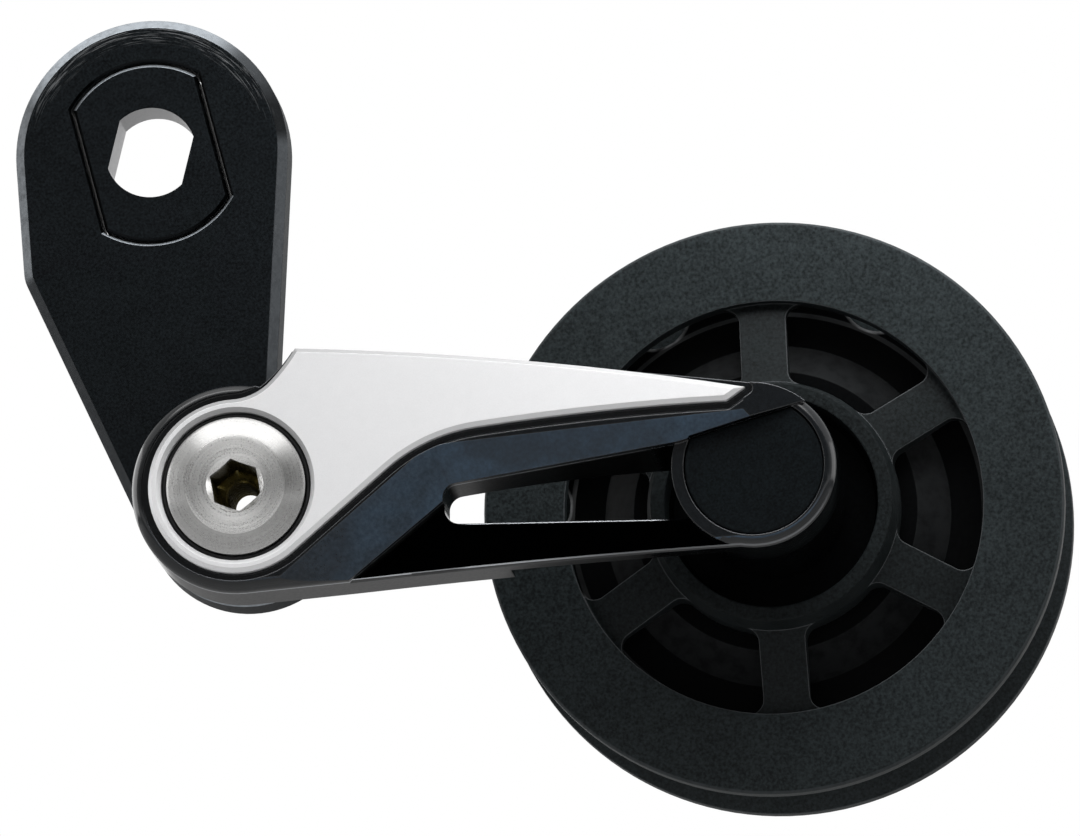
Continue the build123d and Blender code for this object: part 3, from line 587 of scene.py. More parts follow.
def make_grain():
    """Moulded or sprayed grain: fine noise with a share of coarse noise, as a height and as a tone."""
    nodes, given, out = node_group(
        "fine_grain", {"Scale": 4000.0, "Low": 0.9, "High": 1.1}, ("Height", "Tone")
    )
    coarse_scale, coarse_share = 0.06, 0.15
    fine = nodes.noise(given["Vector"], given["Scale"], 3.0, 0.6)
    coarse = nodes.noise(given["Vector"], nodes.times(given["Scale"], coarse_scale))
    both = nodes.maths("ADD", nodes.times(fine, 1 - coarse_share), nodes.times(coarse, coarse_share))
    tone = nodes.ramp(both, 0.35, 0.65, given["Low"], given["High"])
    return nodes.give(out, Height=fine, Tone=tone)


def make_bevel_highlight():
    """Mask of painted highlights on bevels: high where the surface leans between front and side, broken by
    noise.
    """
    nodes, given, out = node_group(
        "bevel_highlight", {"Normal": None, "Break Scale": 600.0, "Least": 0.45}, ("Mask",)
    )
    facing = nodes.size(nodes.split(given["Normal"])[1])
    rising = nodes.fade(facing, 0.25, 0.5)
    falling = nodes.fade(facing, 0.9, 0.99, 1.0, 0.0)
    specks = nodes.noise(given["Vector"], given["Break Scale"], 4.0, 0.65)
    breaks = nodes.fade(specks, 0.3, 0.6, given["Least"], 1.0)
    return nodes.give(out, Mask=nodes.times(rising, falling, breaks))


def make_turned_rings():
    """Lathe marks: waves in the distance from an axis, uneven from ring to ring, as a height and a tone."""
    nodes, given, out = node_group(
        "turned_rings",
        {"Centre X": 0.0, "Centre Z": 0.0, "Pitch": 0.0002},
        ("Height", "Tone", "Radius", "Depth"),
    )
    radius, angle, depth = nodes.polar(given["Vector"], given["Centre X"], given["Centre Z"])
    count = nodes.maths("DIVIDE", radius, given["Pitch"])
    wave = nodes.maths("SINE", nodes.times(count, 2 * math.pi))
    lane = nodes.join(count, nodes.times(angle, 0.25), 0.0)
    uneven = nodes.noise(lane, 0.9, 4.0, 0.7)
    height = nodes.maths("ADD", nodes.times(wave, 0.2), uneven)
    tone = nodes.ramp(uneven, 0.3, 0.7, 0.86, 1.12)
    return nodes.give(out, Height=height, Tone=tone, Radius=radius, Depth=depth)


def make_arc_scuffs():
    """Scuffs along an arc: noise stretched round an axis, kept between two distances from it."""
    nodes, given, out = node_group(
        "arc_scuffs",
        {"Centre X": 0.0, "Centre Z": 0.0, "Inner": 0.012, "Outer": 0.0145, "Lane": 9000.0},
        ("Mask",),
    )
    radius, angle, _ = nodes.polar(given["Vector"], given["Centre X"], given["Centre Z"])
    lane = nodes.join(nodes.times(radius, given["Lane"]), nodes.times(angle, 5.0), 3.7)
    streak = nodes.fade(nodes.noise(lane, 1.0, 3.0, 0.6), 0.5, 0.72)
    middle = nodes.times(nodes.maths("ADD", given["Inner"], given["Outer"]), 0.5)
    half = nodes.times(nodes.maths("SUBTRACT", given["Outer"], given["Inner"]), 0.5)
    off = nodes.maths("DIVIDE", nodes.away(radius, middle), half)
    return nodes.give(out, Mask=nodes.times(streak, nodes.fade(off, 0.4, 1.0, 1.0, 0.0)))


GROUP_MAKERS = {
    "fine_grain": make_grain,
    "bevel_highlight": make_bevel_highlight,
    "turned_rings": make_turned_rings,
    "arc_scuffs": make_arc_scuffs,
}


def shared(name):
    """A shared node group, made the first time it is asked for."""
    return bpy.data.node_groups.get(name) or GROUP_MAKERS[name]()


def blank_material(name):
    """A material with an empty node tree, and the tree's writer."""
    material = bpy.data.materials.new(name)
    material.use_nodes = True
    material.node_tree.nodes.clear()
    return material, Nodes(material.node_tree)


class Finish:
    """A material on one Principled shader, written step by step."""

    def __init__(self, name, metallic=0.0, specular=0.5):
        self.material, self.nodes = blank_material(name)
        self.shader = self.nodes.add(
            "ShaderNodeBsdfPrincipled", {"Metallic": metallic, "Specular IOR Level": specular}
        )
        self.nodes.add("ShaderNodeOutputMaterial", {"Surface": self.shader.outputs[0]})
        coordinates = self.nodes.add("ShaderNodeTexCoord").outputs
        self.place, self.lean = coordinates["Object"], coordinates["Normal"]

    def group(self, name, **inputs):
        """Outputs of a shared group at the surface's own place."""
        made = self.nodes.add("ShaderNodeGroup", node_tree=shared(name))
        for title, value in {"Vector": self.place, **inputs}.items():
            self.nodes.feed(made.inputs[title.replace("_", " ")], value)
        return made.outputs

    def grain(self, scale, tones):
        """Fine grain with a range of tones."""
        return self.group("fine_grain", Scale=scale, Low=tones[0], High=tones[1])

    def set(self, **inputs):
        """Feeds the shader's inputs."""
        for title, value in inputs.items():
            self.nodes.feed(self.shader.inputs[title.replace("_", " ")], value)

    def toned(self, colour, tone):
        """A colour made lighter and darker by a tone."""
        if not isinstance(colour, bpy.types.NodeSocket):
            colour = tuple(colour)
        scaled = self.nodes.add("ShaderNodeVectorMath", {0: colour, "Scale": tone}, operation="SCALE")
        return scaled.outputs[0]

    def softened(self, radius):
        """Normal averaged over a radius, which rounds edges in shading."""
        return self.nodes.add("ShaderNodeBevel", {"Radius": radius}, samples=BEVEL_SAMPLES).outputs[0]

    def sharp_edges(self, radius):
        """Mask of sharp edges, where the softened normal turns from the true one, and that normal's parts."""
        turned = self.nodes.add(
            "ShaderNodeVectorTransform",
            {0: self.softened(radius)},
            vector_type="NORMAL",
            convert_from="WORLD",
            convert_to="OBJECT",
        ).outputs[0]
        cosine = self.nodes.add("ShaderNodeVectorMath", {0: turned, 1: self.lean}, operation="DOT_PRODUCT")
        return self.nodes.fade(cosine.outputs["Value"], 0.985, 0.9), self.nodes.split(turned)

    def relief(self, height, depth, edge=0.0):
        """Normal from a height in steps of depth metres, on edges softened by a small radius."""
        bump = self.nodes.add("ShaderNodeBump", {"Height": height, "Distance": depth})
        if edge:
            self.nodes.feed(bump.inputs["Normal"], self.softened(edge))
        self.set(Normal=bump.outputs[0])


def grained(name, colour, scale, roughness, specular, depth, edge, catch=0.0, catch_colour=None):
    """Black moulded or sprayed finish: grain in tone, roughness and relief, and painted highlights on the
    bevels.

    Gives the finish and the socket of its colour.
    """
    made = Finish(name, specular=specular)
    grain = made.grain(scale, MOULDED_TONES)
    coat = made.toned(colour, grain["Tone"])
    if catch:
        # Painted highlight: bevels are mixed towards a lighter edge colour.
        bevels = made.group("bevel_highlight", Normal=made.lean)["Mask"]
        coat = made.nodes.mix(made.nodes.times(bevels, catch), coat, catch_colour)
    made.set(
        Base_Color=coat,
        Roughness=made.nodes.ramp(grain["Tone"], *MOULDED_TONES, roughness - 0.05, roughness + 0.06),
    )
    made.relief(grain["Height"], depth, edge)
    return made, coat


def bracket_finish(colours):
    """Matt black coating, rubbed to bare metal along the bevels, with painted highlights and painted shade on
    that metal, and scuffed round the head.
    """
    made, coat = grained(
        "bracket_black",
        colours.bracket,
        scale=3600.0,
        roughness=0.48,
        specular=0.05,
        depth=0.000012,
        edge=0.00025,
    )
    nodes = made.nodes
    lean, place = nodes.split(made.lean), nodes.split(made.place)
    reach = nodes.polar(made.place, 0.0, 0.0)[0]

    # Painted light on the bevels' rubbed metal: painted highlights, brightest where they look up, and painted
    # shade in the insert's recess and at the upper right.
    bevel = made.group("bevel_highlight", Normal=made.lean, Break_Scale=1100.0, Least=0.72)["Mask"]
    above = nodes.fade(lean[2], 0.15, 0.6, 0.0, 1.5)
    under = nodes.fade(lean[2], -0.68, -0.5, 1.0, 0.0)
    aside = nodes.fade(lean[0], -0.69, 0.6, 0.24, 0.19)
    aside = nodes.times(aside, nodes.fade(lean[2], -0.3, -0.1, 0.35, 1.0))
    # Painted shade: inside the insert's recess the bevels are dimmed nearly to black.
    outside = nodes.fade(reach, INSERT_REACH, INSERT_REACH + 0.0008, 0.04, 1.0)
    painted_bevel_light = nodes.most(nodes.times(nodes.most(under, aside), outside), above)
    # Painted shade on bevels that lean to the right and up.
    upper_right_shade = nodes.times(nodes.fade(lean[0], 0.3, 0.5), nodes.fade(lean[2], 0.02, 0.12))
    painted_bevel_light = nodes.times(painted_bevel_light, nodes.ramp(upper_right_shade, 0.0, 1.0, 1.0, 0.2))

    scuffs = made.group("arc_scuffs", Inner=SCUFF_INNER, Outer=SCUFF_OUTER)["Mask"]
    scuffs = nodes.times(scuffs, nodes.fade(place[2], *SCUFF_RISE))
    marks_and_highlight = nodes.mix(scuffs, coat, SCUFFED_COAT)
    marks_and_highlight = nodes.mix(bevel, marks_and_highlight, made.toned(RUBBED_METAL_AND_HIGHLIGHT, painted_bevel_light))

    # The axle hole's wall is bare.
    wall = nodes.fade(nodes.size(lean[1]), 0.3, 0.6, 1.0, 0.0)
    bare = nodes.times(nodes.fade(reach, AXLE_HOLE - 0.0001, AXLE_HOLE, 1.0, 0.0), wall)
    made.set(Base_Color=nodes.mix(bare, marks_and_highlight, BARE_METAL), Metallic=nodes.most(bevel, bare))
    return made.material


def arm_finish(colours):
    """Gloss black paint over a casting: orange peel, a clouded painted reflection in lighter blue on its
    sloping facets, painted shade deep in the pocket, and painted highlights along thin edges.
    """
    made = Finish("arm_gloss", specular=0.5)
    nodes = made.nodes
    lean, place = nodes.split(made.lean), nodes.split(made.place)
    tone = made.grain(2500.0, ARM_TONES)["Tone"]
    sunk = nodes.fade(place[1], ARM_STEP - 0.0004, ARM_STEP + 0.0006)
    frontal = nodes.fade(lean[1], -0.5, -0.9)
    downward = nodes.fade(lean[2], -0.2, -0.5)

    # Painted reflection: facets that slope down from the front take a lighter blue, clouded colour, which fades
    # out round the pivot.
    facet_reflection = nodes.times(
        nodes.fade(lean[1], -0.97, -0.99),
        nodes.fade(lean[2], -0.04, -0.09),
        nodes.fade(place[0], PIVOT[0] + 0.006, PIVOT[0] + 0.018, 0.3, 1.0),
    )
    clouds = nodes.fade(nodes.noise(made.place, 160.0, 3.0, 0.6), 0.35, 0.68, 0.75, 1.5)
    coat = nodes.mix(facet_reflection, colours.arm, made.toned(colours.facet_reflection, clouds))
    # Painted shade: the pocket, deeper than the arm's step, is coloured near black.
    coat = nodes.mix(sunk, coat, colours.recess)

    # Painted highlights in a pale metal colour along the lip's crest, along the slot's lower edge and on edges
    # that look up.
    crest_highlight = nodes.times(
        nodes.fade(nodes.away(place[1], LIP_CREST), 0.00005, 0.00016, 1.0, 0.0),
        downward,
        nodes.fade(place[0], PIVOT[0] + 0.022, SLOT_END, 1.0, 0.2),
    )
    slot_edge_highlight = nodes.times(
        nodes.fade(nodes.away(place[2], SLOT_FOOT), 0.00008, 0.00016, 1.0, 0.0),
        frontal,
        nodes.fade(place[0], SLOT_START, SLOT_START + 0.002),
        nodes.fade(place[0], SLOT_END - 0.002, SLOT_END, 1.0, 0.0),
    )
    edge, soft = made.sharp_edges(0.00015)
    upward_highlight = nodes.times(
        edge, nodes.fade(soft[2], 0.1, 0.3), nodes.fade(place[1], ARM_STEP, ARM_STEP - 0.0004), 0.35
    )
    marks_and_highlight = nodes.most(crest_highlight, slot_edge_highlight, upward_highlight)

    # Painted shade down in the pocket: dark metal keeps the floor and the slot's upper wall black. The
    # underside is duller.
    slot_wall_shade = nodes.times(
        nodes.fade(place[2], SLOT_FOOT - 0.002, SLOT_FOOT - 0.001),
        downward,
        nodes.fade(place[0], SLOT_START - 0.003, SLOT_START - 0.002),
    )
    deep = nodes.times(sunk, nodes.most(frontal, slot_wall_shade))
    duller = nodes.times(
        nodes.fade(lean[2], -0.6, -0.85, 0.0, 0.3),
        nodes.fade(place[0], SLOT_END - 0.004, SLOT_END, 1.0, 0.0),
    )
    made.set(
        Base_Color=nodes.mix(marks_and_highlight, made.toned(coat, tone), PAINTED_EDGE_HIGHLIGHT),
        Metallic=nodes.most(marks_and_highlight, deep),
        Roughness=nodes.maths("ADD", nodes.ramp(tone, *ARM_TONES, 0.10, 0.16), duller),
    )
    made.relief(nodes.noise(made.place, 420.0), 0.000008, edge=0.0002)
    return made.material


def cover_finish(colours):
    """Satin silver: very fine even grain, and painted shade on its bevels.

    Round the hole the painted shade on a bevel is darker the more it looks down, and along the outline the more
    it looks up.
    """
    made = Finish("cover_silver", metallic=0.2)
    nodes = made.nodes
    grain = made.grain(14000.0, COVER_TONES)
    lean = nodes.split(made.lean)
    radius = nodes.polar(made.place, PIVOT[0], PIVOT[2])[0]
    # Painted shade on the cover's bevels, by the way they lean.
    hole_bevel_shade = nodes.fade(lean[2], 0.3, -0.5, 0.95, 0.5)
    outside = nodes.fade(lean[2], -0.4, 0.4, 0.85, 0.5)
    around = nodes.fade(radius, COVER_HOLE, COVER_HOLE + 0.0001)
    bevel = nodes.maths("ADD", hole_bevel_shade, nodes.times(around, nodes.maths("SUBTRACT", outside, hole_bevel_shade)))
    flat = nodes.fade(nodes.size(lean[1]), 0.85, 0.97)
    made.set(
        Base_Color=made.toned(colours.cover, nodes.times(grain["Tone"], nodes.most(bevel, flat))),
        Roughness=nodes.ramp(grain["Tone"], *COVER_TONES, 0.36, 0.44),
    )
    made.relief(grain["Height"], 0.000006, edge=0.00012)
    return made.material


def bolt_finish(colours, sizes):
    """Steel turned on a lathe, darker on its bevel, and brassy with grease in the socket and the bore."""
    made = Finish("bolt_steel", metallic=1.0)
    nodes = made.nodes
    rings = made.group("turned_rings", Centre_X=PIVOT[0], Centre_Z=PIVOT[2], Pitch=0.00016)
    tone = nodes.times(rings["Tone"], made.grain(5000.0, (0.9, 1.08))["Tone"])
    rim, blend = sizes.face_radius, 0.00005
    bevel = nodes.fade(rings["Radius"], rim - blend, rim + blend, 1.0, 0.55)
    bright = made.toned(colours.bolt, nodes.times(tone, bevel))
    front = BOLT_BOX[0].y
    grease = nodes.times(
        nodes.fade(rings["Radius"], GREASE_REACH, GREASE_REACH + 0.0003, 1.0, 0.0),
        nodes.fade(rings["Depth"], front + GREASE_START, front + GREASE_FULL),
    )
    tangent = nodes.add("ShaderNodeTangent", direction_type="UV_MAP", uv_map="turned")
    made.set(
        Base_Color=nodes.mix(grease, bright, GREASE),
        Roughness=nodes.ramp(tone, 0.8, 1.15, 0.24, 0.34),
        Anisotropic=0.75,
        Anisotropic_Rotation=0.25,
        Tangent=tangent.outputs[0],
    )
    made.relief(rings["Height"], 0.000004)
    return made.material


def steel_finish(name, colour, centre, pitch, roughness):
    """Plated or drawn steel with fine marks round its own axis."""
    made = Finish(name, metallic=1.0)
    nodes = made.nodes
    rings = made.group("turned_rings", Centre_X=centre[0], Centre_Z=centre[2], Pitch=pitch)
    tone = nodes.times(rings["Tone"], made.grain(3000.0, (0.85, 1.1))["Tone"])
    made.set(
        Base_Color=made.toned(colour, tone),
        Roughness=nodes.ramp(tone, 0.75, 1.2, roughness - 0.06, roughness + 0.08),
    )
    made.relief(rings["Height"], 0.000004, edge=0.00012)
    return made.material


def pulley_finish(colours):
    """Satin moulded plastic with fine turned marks from its mould, and a pale painted highlight where rollers
    seat.

    The painted highlight is a band just outside a roller pocket. With r the distance from the hub and a the
    angle from the nearest pocket, the law of cosines gives the distance from that pocket's centre.
    """
    made = Finish("pulley_plastic", specular=0.02)
    nodes = made.nodes
    rings = made.group("turned_rings", Centre_X=HUB[0], Centre_Z=HUB[2], Pitch=0.0005)
    grain = made.grain(2600.0, PULLEY_TONES)
    bevels = made.group("bevel_highlight", Normal=made.lean)["Mask"]
    base = made.toned(colours.pulley, nodes.times(rings["Tone"], grain["Tone"]))
    # Painted highlight on the pulley's bevels.
    base = nodes.mix(nodes.times(bevels, 0.35), base, PULLEY_EDGE_HIGHLIGHT)

    radius, angle, _ = nodes.polar(made.place, HUB[0], HUB[2])
    sector = 2 * math.pi / POCKETS
    turn = nodes.maths("FLOORED_MODULO", nodes.maths("SUBTRACT", angle, POCKET_TURN - sector / 2), sector)
    cosine = nodes.maths("COSINE", nodes.maths("SUBTRACT", turn, sector / 2))
    squares = nodes.maths("ADD", nodes.times(radius, radius), PITCH_RADIUS**2)
    cross = nodes.times(radius, cosine, 2 * PITCH_RADIUS)
    off = nodes.maths("SQRT", nodes.maths("SUBTRACT", squares, cross))
    # Painted highlight round each roller pocket, broken by noise.
    pocket_highlight = nodes.times(
        nodes.fade(off, POCKET_RADIUS + 0.0001, POCKET_RADIUS + 0.0004, 1.0, 0.0),
        nodes.fade(nodes.noise(made.place, 500.0, 3.0), 0.35, 0.6, 0.2, 0.8),
    )
    made.set(
        Base_Color=nodes.mix(pocket_highlight, base, POCKET_RIM_HIGHLIGHT),
        Roughness=nodes.ramp(grain["Tone"], *PULLEY_TONES, 0.30, 0.40),
    )
    made.relief(grain["Height"], 0.000008, edge=0.0002)
    return made.material


def guard_finish(colours):
    """Grained plastic ring, with painted shade on its spokes and hub and painted highlights round its windows.
    """
    made, coat = grained(
        "guard_plastic",
        colours.guard,
        scale=3000.0,
        roughness=0.5,
        specular=0.10,
        depth=0.00002,
        edge=0.0003,
        catch=0.6,
        catch_colour=GUARD_EDGE_HIGHLIGHT,
    )
    nodes = made.nodes
    radius = nodes.polar(made.place, HUB[0], HUB[2])[0]
    # Painted shade: inside the rims, on the recessed spokes and hub, the colour is halved.
    rim = nodes.fade(radius, GUARD_RING - 0.0004, GUARD_RING)
    colour = made.toned(coat, nodes.ramp(rim, 0.0, 1.0, 0.5, 1.0))
    # Painted highlights along the windows' edges.
    edge = made.sharp_edges(0.0002)[0]
    window_highlight = nodes.times(nodes.fade(radius, GUARD_HUB, GUARD_HUB + 0.0004), edge, 0.8)
    made.set(Base_Color=nodes.mix(window_highlight, colour, WINDOW_EDGE_HIGHLIGHT))
    return made.material


def dress(material, *names):
    """Gives CAD nodes a finish through their material slots."""
    for name in names:
        node = frame["nodes"].get(name)
        if node is None:
            raise RuntimeError(f"the packed model has no node {name}")
        if not node.material_slots:
            node.data.materials.append(material)
        for slot in node.material_slots:
            slot.material = material


class TENSIONER_OT_bracket(bpy.types.Operator):
    """Matt black bracket and axle insert."""

    bl_idname = "tensioner.bracket"
    bl_label = "Bracket"

    def execute(self, context):
        dress(bracket_finish(context.scene.tensioner_colours), "hanger_bracket", "axle_insert")
        return {"FINISHED"}


class TENSIONER_OT_pivot_bolt(bpy.types.Operator):
    """Turned pivot bolt with a hexagon socket and a threaded bore."""

    bl_idname = "tensioner.pivot_bolt"
    bl_label = "Pivot bolt"

    def execute(self, context):
        sizes = context.scene.tensioner_bolt
        mesh = solid("pivot_bolt_turned", bolt_surface(sizes, *BOLT_BOX))
        turned_uv(mesh, (PIVOT[0], BOLT_BOX[0].y, PIVOT[2]))
        material = bolt_finish(context.scene.tensioner_colours, sizes)
        place(mesh, "pivot_bolt_turned", "pivot_bolt", "bracket", "bolt_steel", material)
        return {"FINISHED"}


class TENSIONER_OT_pivot_parts(bpy.types.Operator):
    """Bush, washer, seal, stop pin and spring about the pivot, and the pulley's liner."""

    bl_idname = "tensioner.pivot_parts"
    bl_label = "Pivot parts"

    def execute(self, context):
        colours = context.scene.tensioner_colours
        steel = steel_finish("pivot_steel", colours.steel, PIVOT, pitch=0.00025, roughness=0.30)
        spring = steel_finish("spring_steel", colours.spring, PIVOT, pitch=0.0003, roughness=0.38)
        washer, _ = grained(
            "washer_plastic",
            colours.washer,
            scale=2500.0,
            roughness=0.45,
            specular=0.4,
            depth=0.000008,
            edge=0.0001,
            catch=0.1,
            catch_colour=WASHER_EDGE_HIGHLIGHT,
        )
        seal, _ = grained(
            "seal_rubber",
            colours.seal,
            scale=2000.0,
            roughness=0.6,
            specular=0.3,
            depth=0.00001,
            edge=0.0,
            catch=0.1,
            catch_colour=SEAL_EDGE_HIGHLIGHT,
        )
        dress(steel, "pivot_bush", "stop_pin")
        dress(spring, "torsion_spring")
        dress(washer.material, "pivot_washer", "hub_liner")
        dress(seal.material, "pivot_seal")
        return {"FINISHED"}


class TENSIONER_OT_arm(bpy.types.Operator):
    """Gloss black arm with its bright cover plate, its matt cap and the dust caps on its axle."""

    bl_idname = "tensioner.arm"
    bl_label = "Arm"

    def execute(self, context):
        colours = context.scene.tensioner_colours
        cap, _ = grained(
            "cap_black",
            colours.cap,
            scale=4200.0,
            roughness=0.5,
            specular=0.06,
            depth=0.00001,
            edge=0.0001,
            catch=0.3,
            catch_colour=CAP_EDGE_HIGHLIGHT,
        )
        # The dust caps take the near black painted-shade colour.
        dust_cap, _ = grained(
            "dust_cap",
            colours.recess,
            scale=4200.0,
            roughness=0.4,
            specular=0.03,
            depth=0.00001,
            edge=0.0001,
            catch=0.2,
            catch_colour=CAP_EDGE_HIGHLIGHT,
        )
        dress(arm_finish(colours), "arm_body")
        dress(cover_finish(colours), "cover_plate")
        dress(cap.material, "axle_cap")
        dress(dust_cap.material, "front_dust_cap", "rear_dust_cap")
        return {"FINISHED"}


class TENSIONER_OT_wheel(bpy.types.Operator):
    """Guide pulley and its grained guard rings."""

    bl_idname = "tensioner.wheel"
    bl_label = "Wheel"

    def execute(self, context):
        colours = context.scene.tensioner_colours
        dress(pulley_finish(colours), "pulley")
        dress(guard_finish(colours), "front_guard", "rear_guard")
        return {"FINISHED"}


class TENSIONER_OT_axle_parts(bpy.types.Operator):
    """Axle bolt, sleeve and washer of the pulley."""

    bl_idname = "tensioner.axle_parts"
    bl_label = "Axle parts"

    def execute(self, context):
        steel = context.scene.tensioner_colours.steel
        material = steel_finish("axle_steel", steel, HUB, pitch=0.0002, roughness=0.28)
        dress(material, "axle_bolt", "axle_sleeve", "axle_washer")
        return {"FINISHED"}


class TENSIONER_OT_guard_screws(bpy.types.Operator):
    """Three screws with cross recesses behind the rear guard ring."""

    bl_idname = "tensioner.guard_screws"
    bl_label = "Guard screws"

    def execute(self, context):
        sizes = context.scene.tensioner_screw
        steel = context.scene.tensioner_colours.steel
        material = steel_finish("screw_steel", steel, HUB, pitch=0.0003, roughness=0.32)
        for node in SCREW_NODES:
            grid, ends = screw_surface(sizes, *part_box(node))
            mesh = solid(f"{node}_crossed", grid, ends)
            place(mesh, f"{node}_crossed", node, "wheel", "bright_steel", material)
        return {"FINISHED"}


def unseen_by(thing, *rays):
    """Hides an object from kinds of ray."""
    for ray in rays:
        setattr(thing, f"visible_{ray}", False)


def soft_lamp(name, spot, aim, width, height, radiance, unseen=()):
    """Oblong area lamp whose face has the given radiance, aimed at a point, unseen by some kinds of ray."""
    lamp = bpy.data.lights.new(name, "AREA")
    lamp.shape = "RECTANGLE"
    lamp.size, lamp.size_y = width, height
    lamp.energy = radiance * math.pi * width * height
    holder = bpy.data.objects.new(name, lamp)
    holder.location = spot
    holder.rotation_euler = (Vector(aim) - Vector(spot)).to_track_quat("-Z", "Y").to_euler()
    unseen_by(holder, "camera", *unseen)
    bpy.context.scene.collection.objects.link(holder)


def flat_sheet(name, corners, material):
    """An object of one face."""
    mesh = bpy.data.meshes.new(name)
    mesh.from_pydata(corners, [], [tuple(range(len(corners)))])
    mesh.materials.append(material)
    sheet = bpy.data.objects.new(name, mesh)
    bpy.context.scene.collection.objects.link(sheet)
    return sheet


def pale_floor(level):
    """Wide pale floor that lets a camera below it see through."""
    material, nodes = blank_material("studio_floor")
    pale = nodes.add("ShaderNodeBsdfDiffuse", {"Color": FLOOR_COLOUR})
    clear = nodes.add("ShaderNodeBsdfTransparent")
    below = nodes.add("ShaderNodeNewGeometry").outputs["Backfacing"]
    both = nodes.add("ShaderNodeMixShader", {0: below, 1: pale.outputs[0], 2: clear.outputs[0]})
    nodes.add("ShaderNodeOutputMaterial", {"Surface": both.outputs[0]})
    signs = ((-1, -1), (1, -1), (1, 1), (-1, 1))
    corners = [(x * FLOOR_HALF, y * FLOOR_HALF, level) for x, y in signs]
    floor = flat_sheet("studio_floor", corners, material)


def dim_card(level, edge_level, middle):
    """Dim card across the front, which only reflections see, so that gloss facing it stays deep.

    Its brightness rises from its middle to its two ends.
    """
    material, nodes = blank_material("studio_card")
    across = nodes.split(nodes.add("ShaderNodeTexCoord").outputs["Object"])[0]
    glow = nodes.fade(nodes.size(across), 0.3, 1.6, level, edge_level)
    dim = nodes.add("ShaderNodeEmission", {"Color": WHITE, "Strength": glow})
    nodes.add("ShaderNodeOutputMaterial", {"Surface": dim.outputs[0]})
    x, y, z = middle
    left, right, front = x - CARD_HALF, x + CARD_HALF, y - CARD_AWAY
    low, high = z + CARD_LOW, z + CARD_HIGH
    corners = [(left, front, high), (right, front, high), (right, front, low), (left, front, low)]
    card = flat_sheet("studio_card", corners, material)
    unseen_by(card, "camera", "diffuse", "transmission", "volume_scatter", "shadow")


def white_world(level):
    """World that is white to the camera and in reflections, and a softer light elsewhere."""
    world = bpy.data.worlds.new("studio_world")
    world.use_nodes = True
    world.node_tree.nodes.clear()
    nodes = Nodes(world.node_tree)
    path = nodes.add("ShaderNodeLightPath").outputs
    seen = nodes.most(path["Is Camera Ray"], path["Is Glossy Ray"], path["Is Transmission Ray"])
    strength = nodes.ramp(seen, 0.0, 1.0, level, 1.0)
    back = nodes.add("ShaderNodeBackground", {"Color": WHITE, "Strength": strength})
    nodes.add("ShaderNodeOutputWorld", {"Surface": back.outputs[0]})
    bpy.context.scene.world = world


def aimed_camera(studio):
    """The scene's camera, at a distance from its target and turned towards it."""
    turn, rise = studio.azimuth, studio.elevation
    back = Vector((math.sin(turn) * math.cos(rise), -math.cos(turn) * math.cos(rise), math.sin(rise)))
    view = bpy.data.cameras.new("studio_camera")
    view.sensor_width = SENSOR_WIDTH
    view.lens = studio.lens
    view.clip_start, view.clip_end = 0.05, 50.0
    camera = bpy.data.objects.new("studio_camera", view)
    camera.location = Vector(studio.target) + back * studio.distance
    camera.rotation_euler = (-back).to_track_quat("-Z", "Y").to_euler()
    bpy.context.scene.collection.objects.link(camera)
    bpy.context.scene.camera = camera


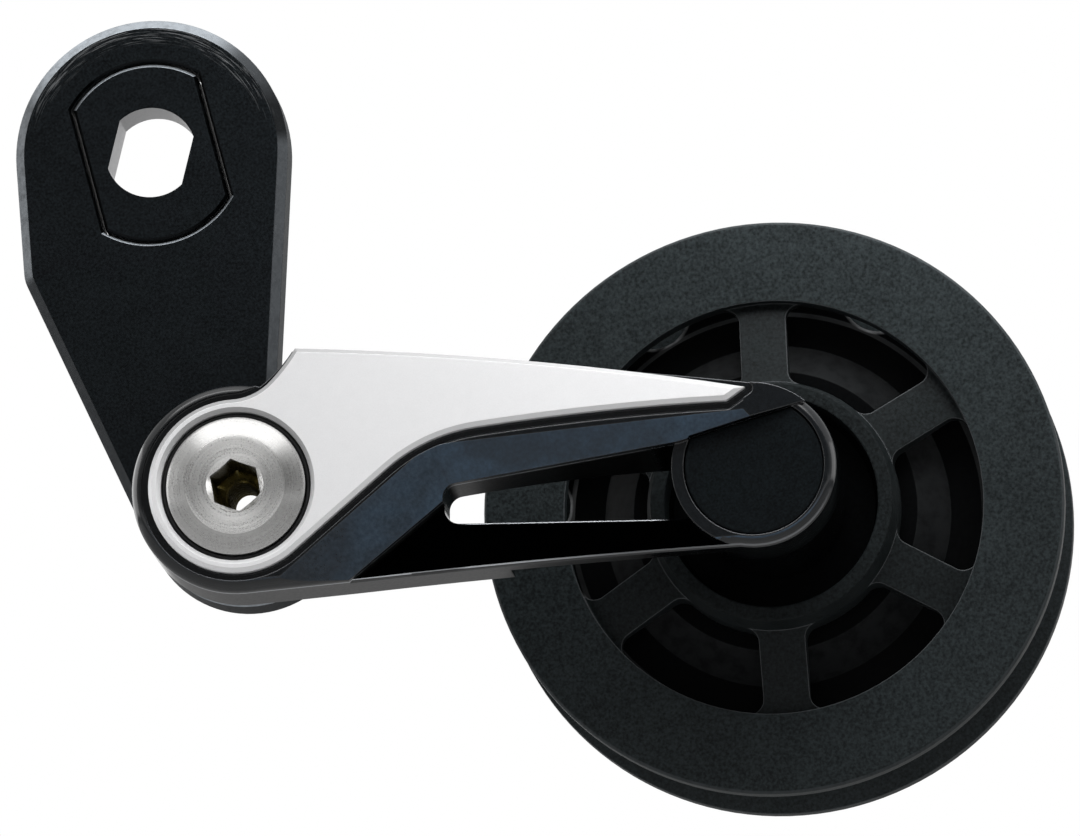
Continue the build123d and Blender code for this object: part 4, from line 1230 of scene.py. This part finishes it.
class TENSIONER_OT_studio(bpy.types.Operator):
    """Camera, pale floor, white world, dim card and soft lamps."""

    bl_idname = "tensioner.studio"
    bl_label = "Studio"

    def execute(self, context):
        studio = context.scene.tensioner_studio
        middle = tuple(studio.target)
        context.scene.view_settings.view_transform = "Standard"
        aimed_camera(studio)
        white_world(studio.sky)
        pale_floor(studio.floor_level)
        dim_card(studio.card, studio.card_ends, middle)
        soft_lamp(
            "lamp_left", spot=(-0.95, 0.2, 0.2), aim=middle, width=1.5, height=0.6, radiance=2.2
        )
        soft_lamp(
            "lamp_right", spot=(1.0, 0.0, 0.2), aim=middle, width=0.8, height=0.5, radiance=1.5
        )
        soft_lamp(
            "lamp_top", spot=(0.0, -0.75, 1.0), aim=middle, width=1.4, height=1.4, radiance=1.02
        )
        soft_lamp(
            "lamp_near",
            spot=(0.085, -0.03, 0.045),
            aim=(0.062, 0.01, -0.02),
            width=0.07,
            height=0.07,
            radiance=9.5,
            unseen=("glossy",),
        )
        soft_lamp(
            "lamp_strip",
            spot=(-0.03, -0.5, 0.46),
            aim=middle,
            width=0.7,
            height=0.1,
            radiance=4.0,
            unseen=("diffuse",),
        )
        return {"FINISHED"}


class TENSIONER_PT_panel(bpy.types.Panel):
    """Lists the steps that dress the tensioner, and their settings."""

    bl_idname = "TENSIONER_PT_panel"
    bl_label = "Tensioner"
    bl_space_type = "VIEW_3D"
    bl_region_type = "UI"
    bl_category = "Tensioner"

    def draw(self, context):
        for step in STEPS:
            self.layout.operator(step.bl_idname)
        for group, kind in SETTINGS.items():
            self.layout.label(text=group.capitalize())
            settings = getattr(context.scene, f"tensioner_{group}")
            for name in kind.__annotations__:
                self.layout.prop(settings, name)


STEPS = (
    TENSIONER_OT_studio,
    TENSIONER_OT_bracket,
    TENSIONER_OT_pivot_bolt,
    TENSIONER_OT_pivot_parts,
    TENSIONER_OT_arm,
    TENSIONER_OT_wheel,
    TENSIONER_OT_axle_parts,
    TENSIONER_OT_guard_screws,
)
SETTINGS = {"bolt": BoltSizes, "screw": ScrewSizes, "colours": Colours, "studio": Studio}


def register():
    for kind in (*SETTINGS.values(), *STEPS, TENSIONER_PT_panel):
        bpy.utils.register_class(kind)
    for name, kind in SETTINGS.items():
        setattr(bpy.types.Scene, f"tensioner_{name}", PointerProperty(type=kind))


def unregister():
    for name in SETTINGS:
        delattr(bpy.types.Scene, f"tensioner_{name}")
    for kind in (TENSIONER_PT_panel, *reversed(STEPS), *SETTINGS.values()):
        bpy.utils.unregister_class(kind)


def main():
    """Runs every step in order."""
    register()
    for step in STEPS:
        family, name = step.bl_idname.split(".")
        getattr(getattr(bpy.ops, family), name)()


if __name__ == "__main__":
    main()
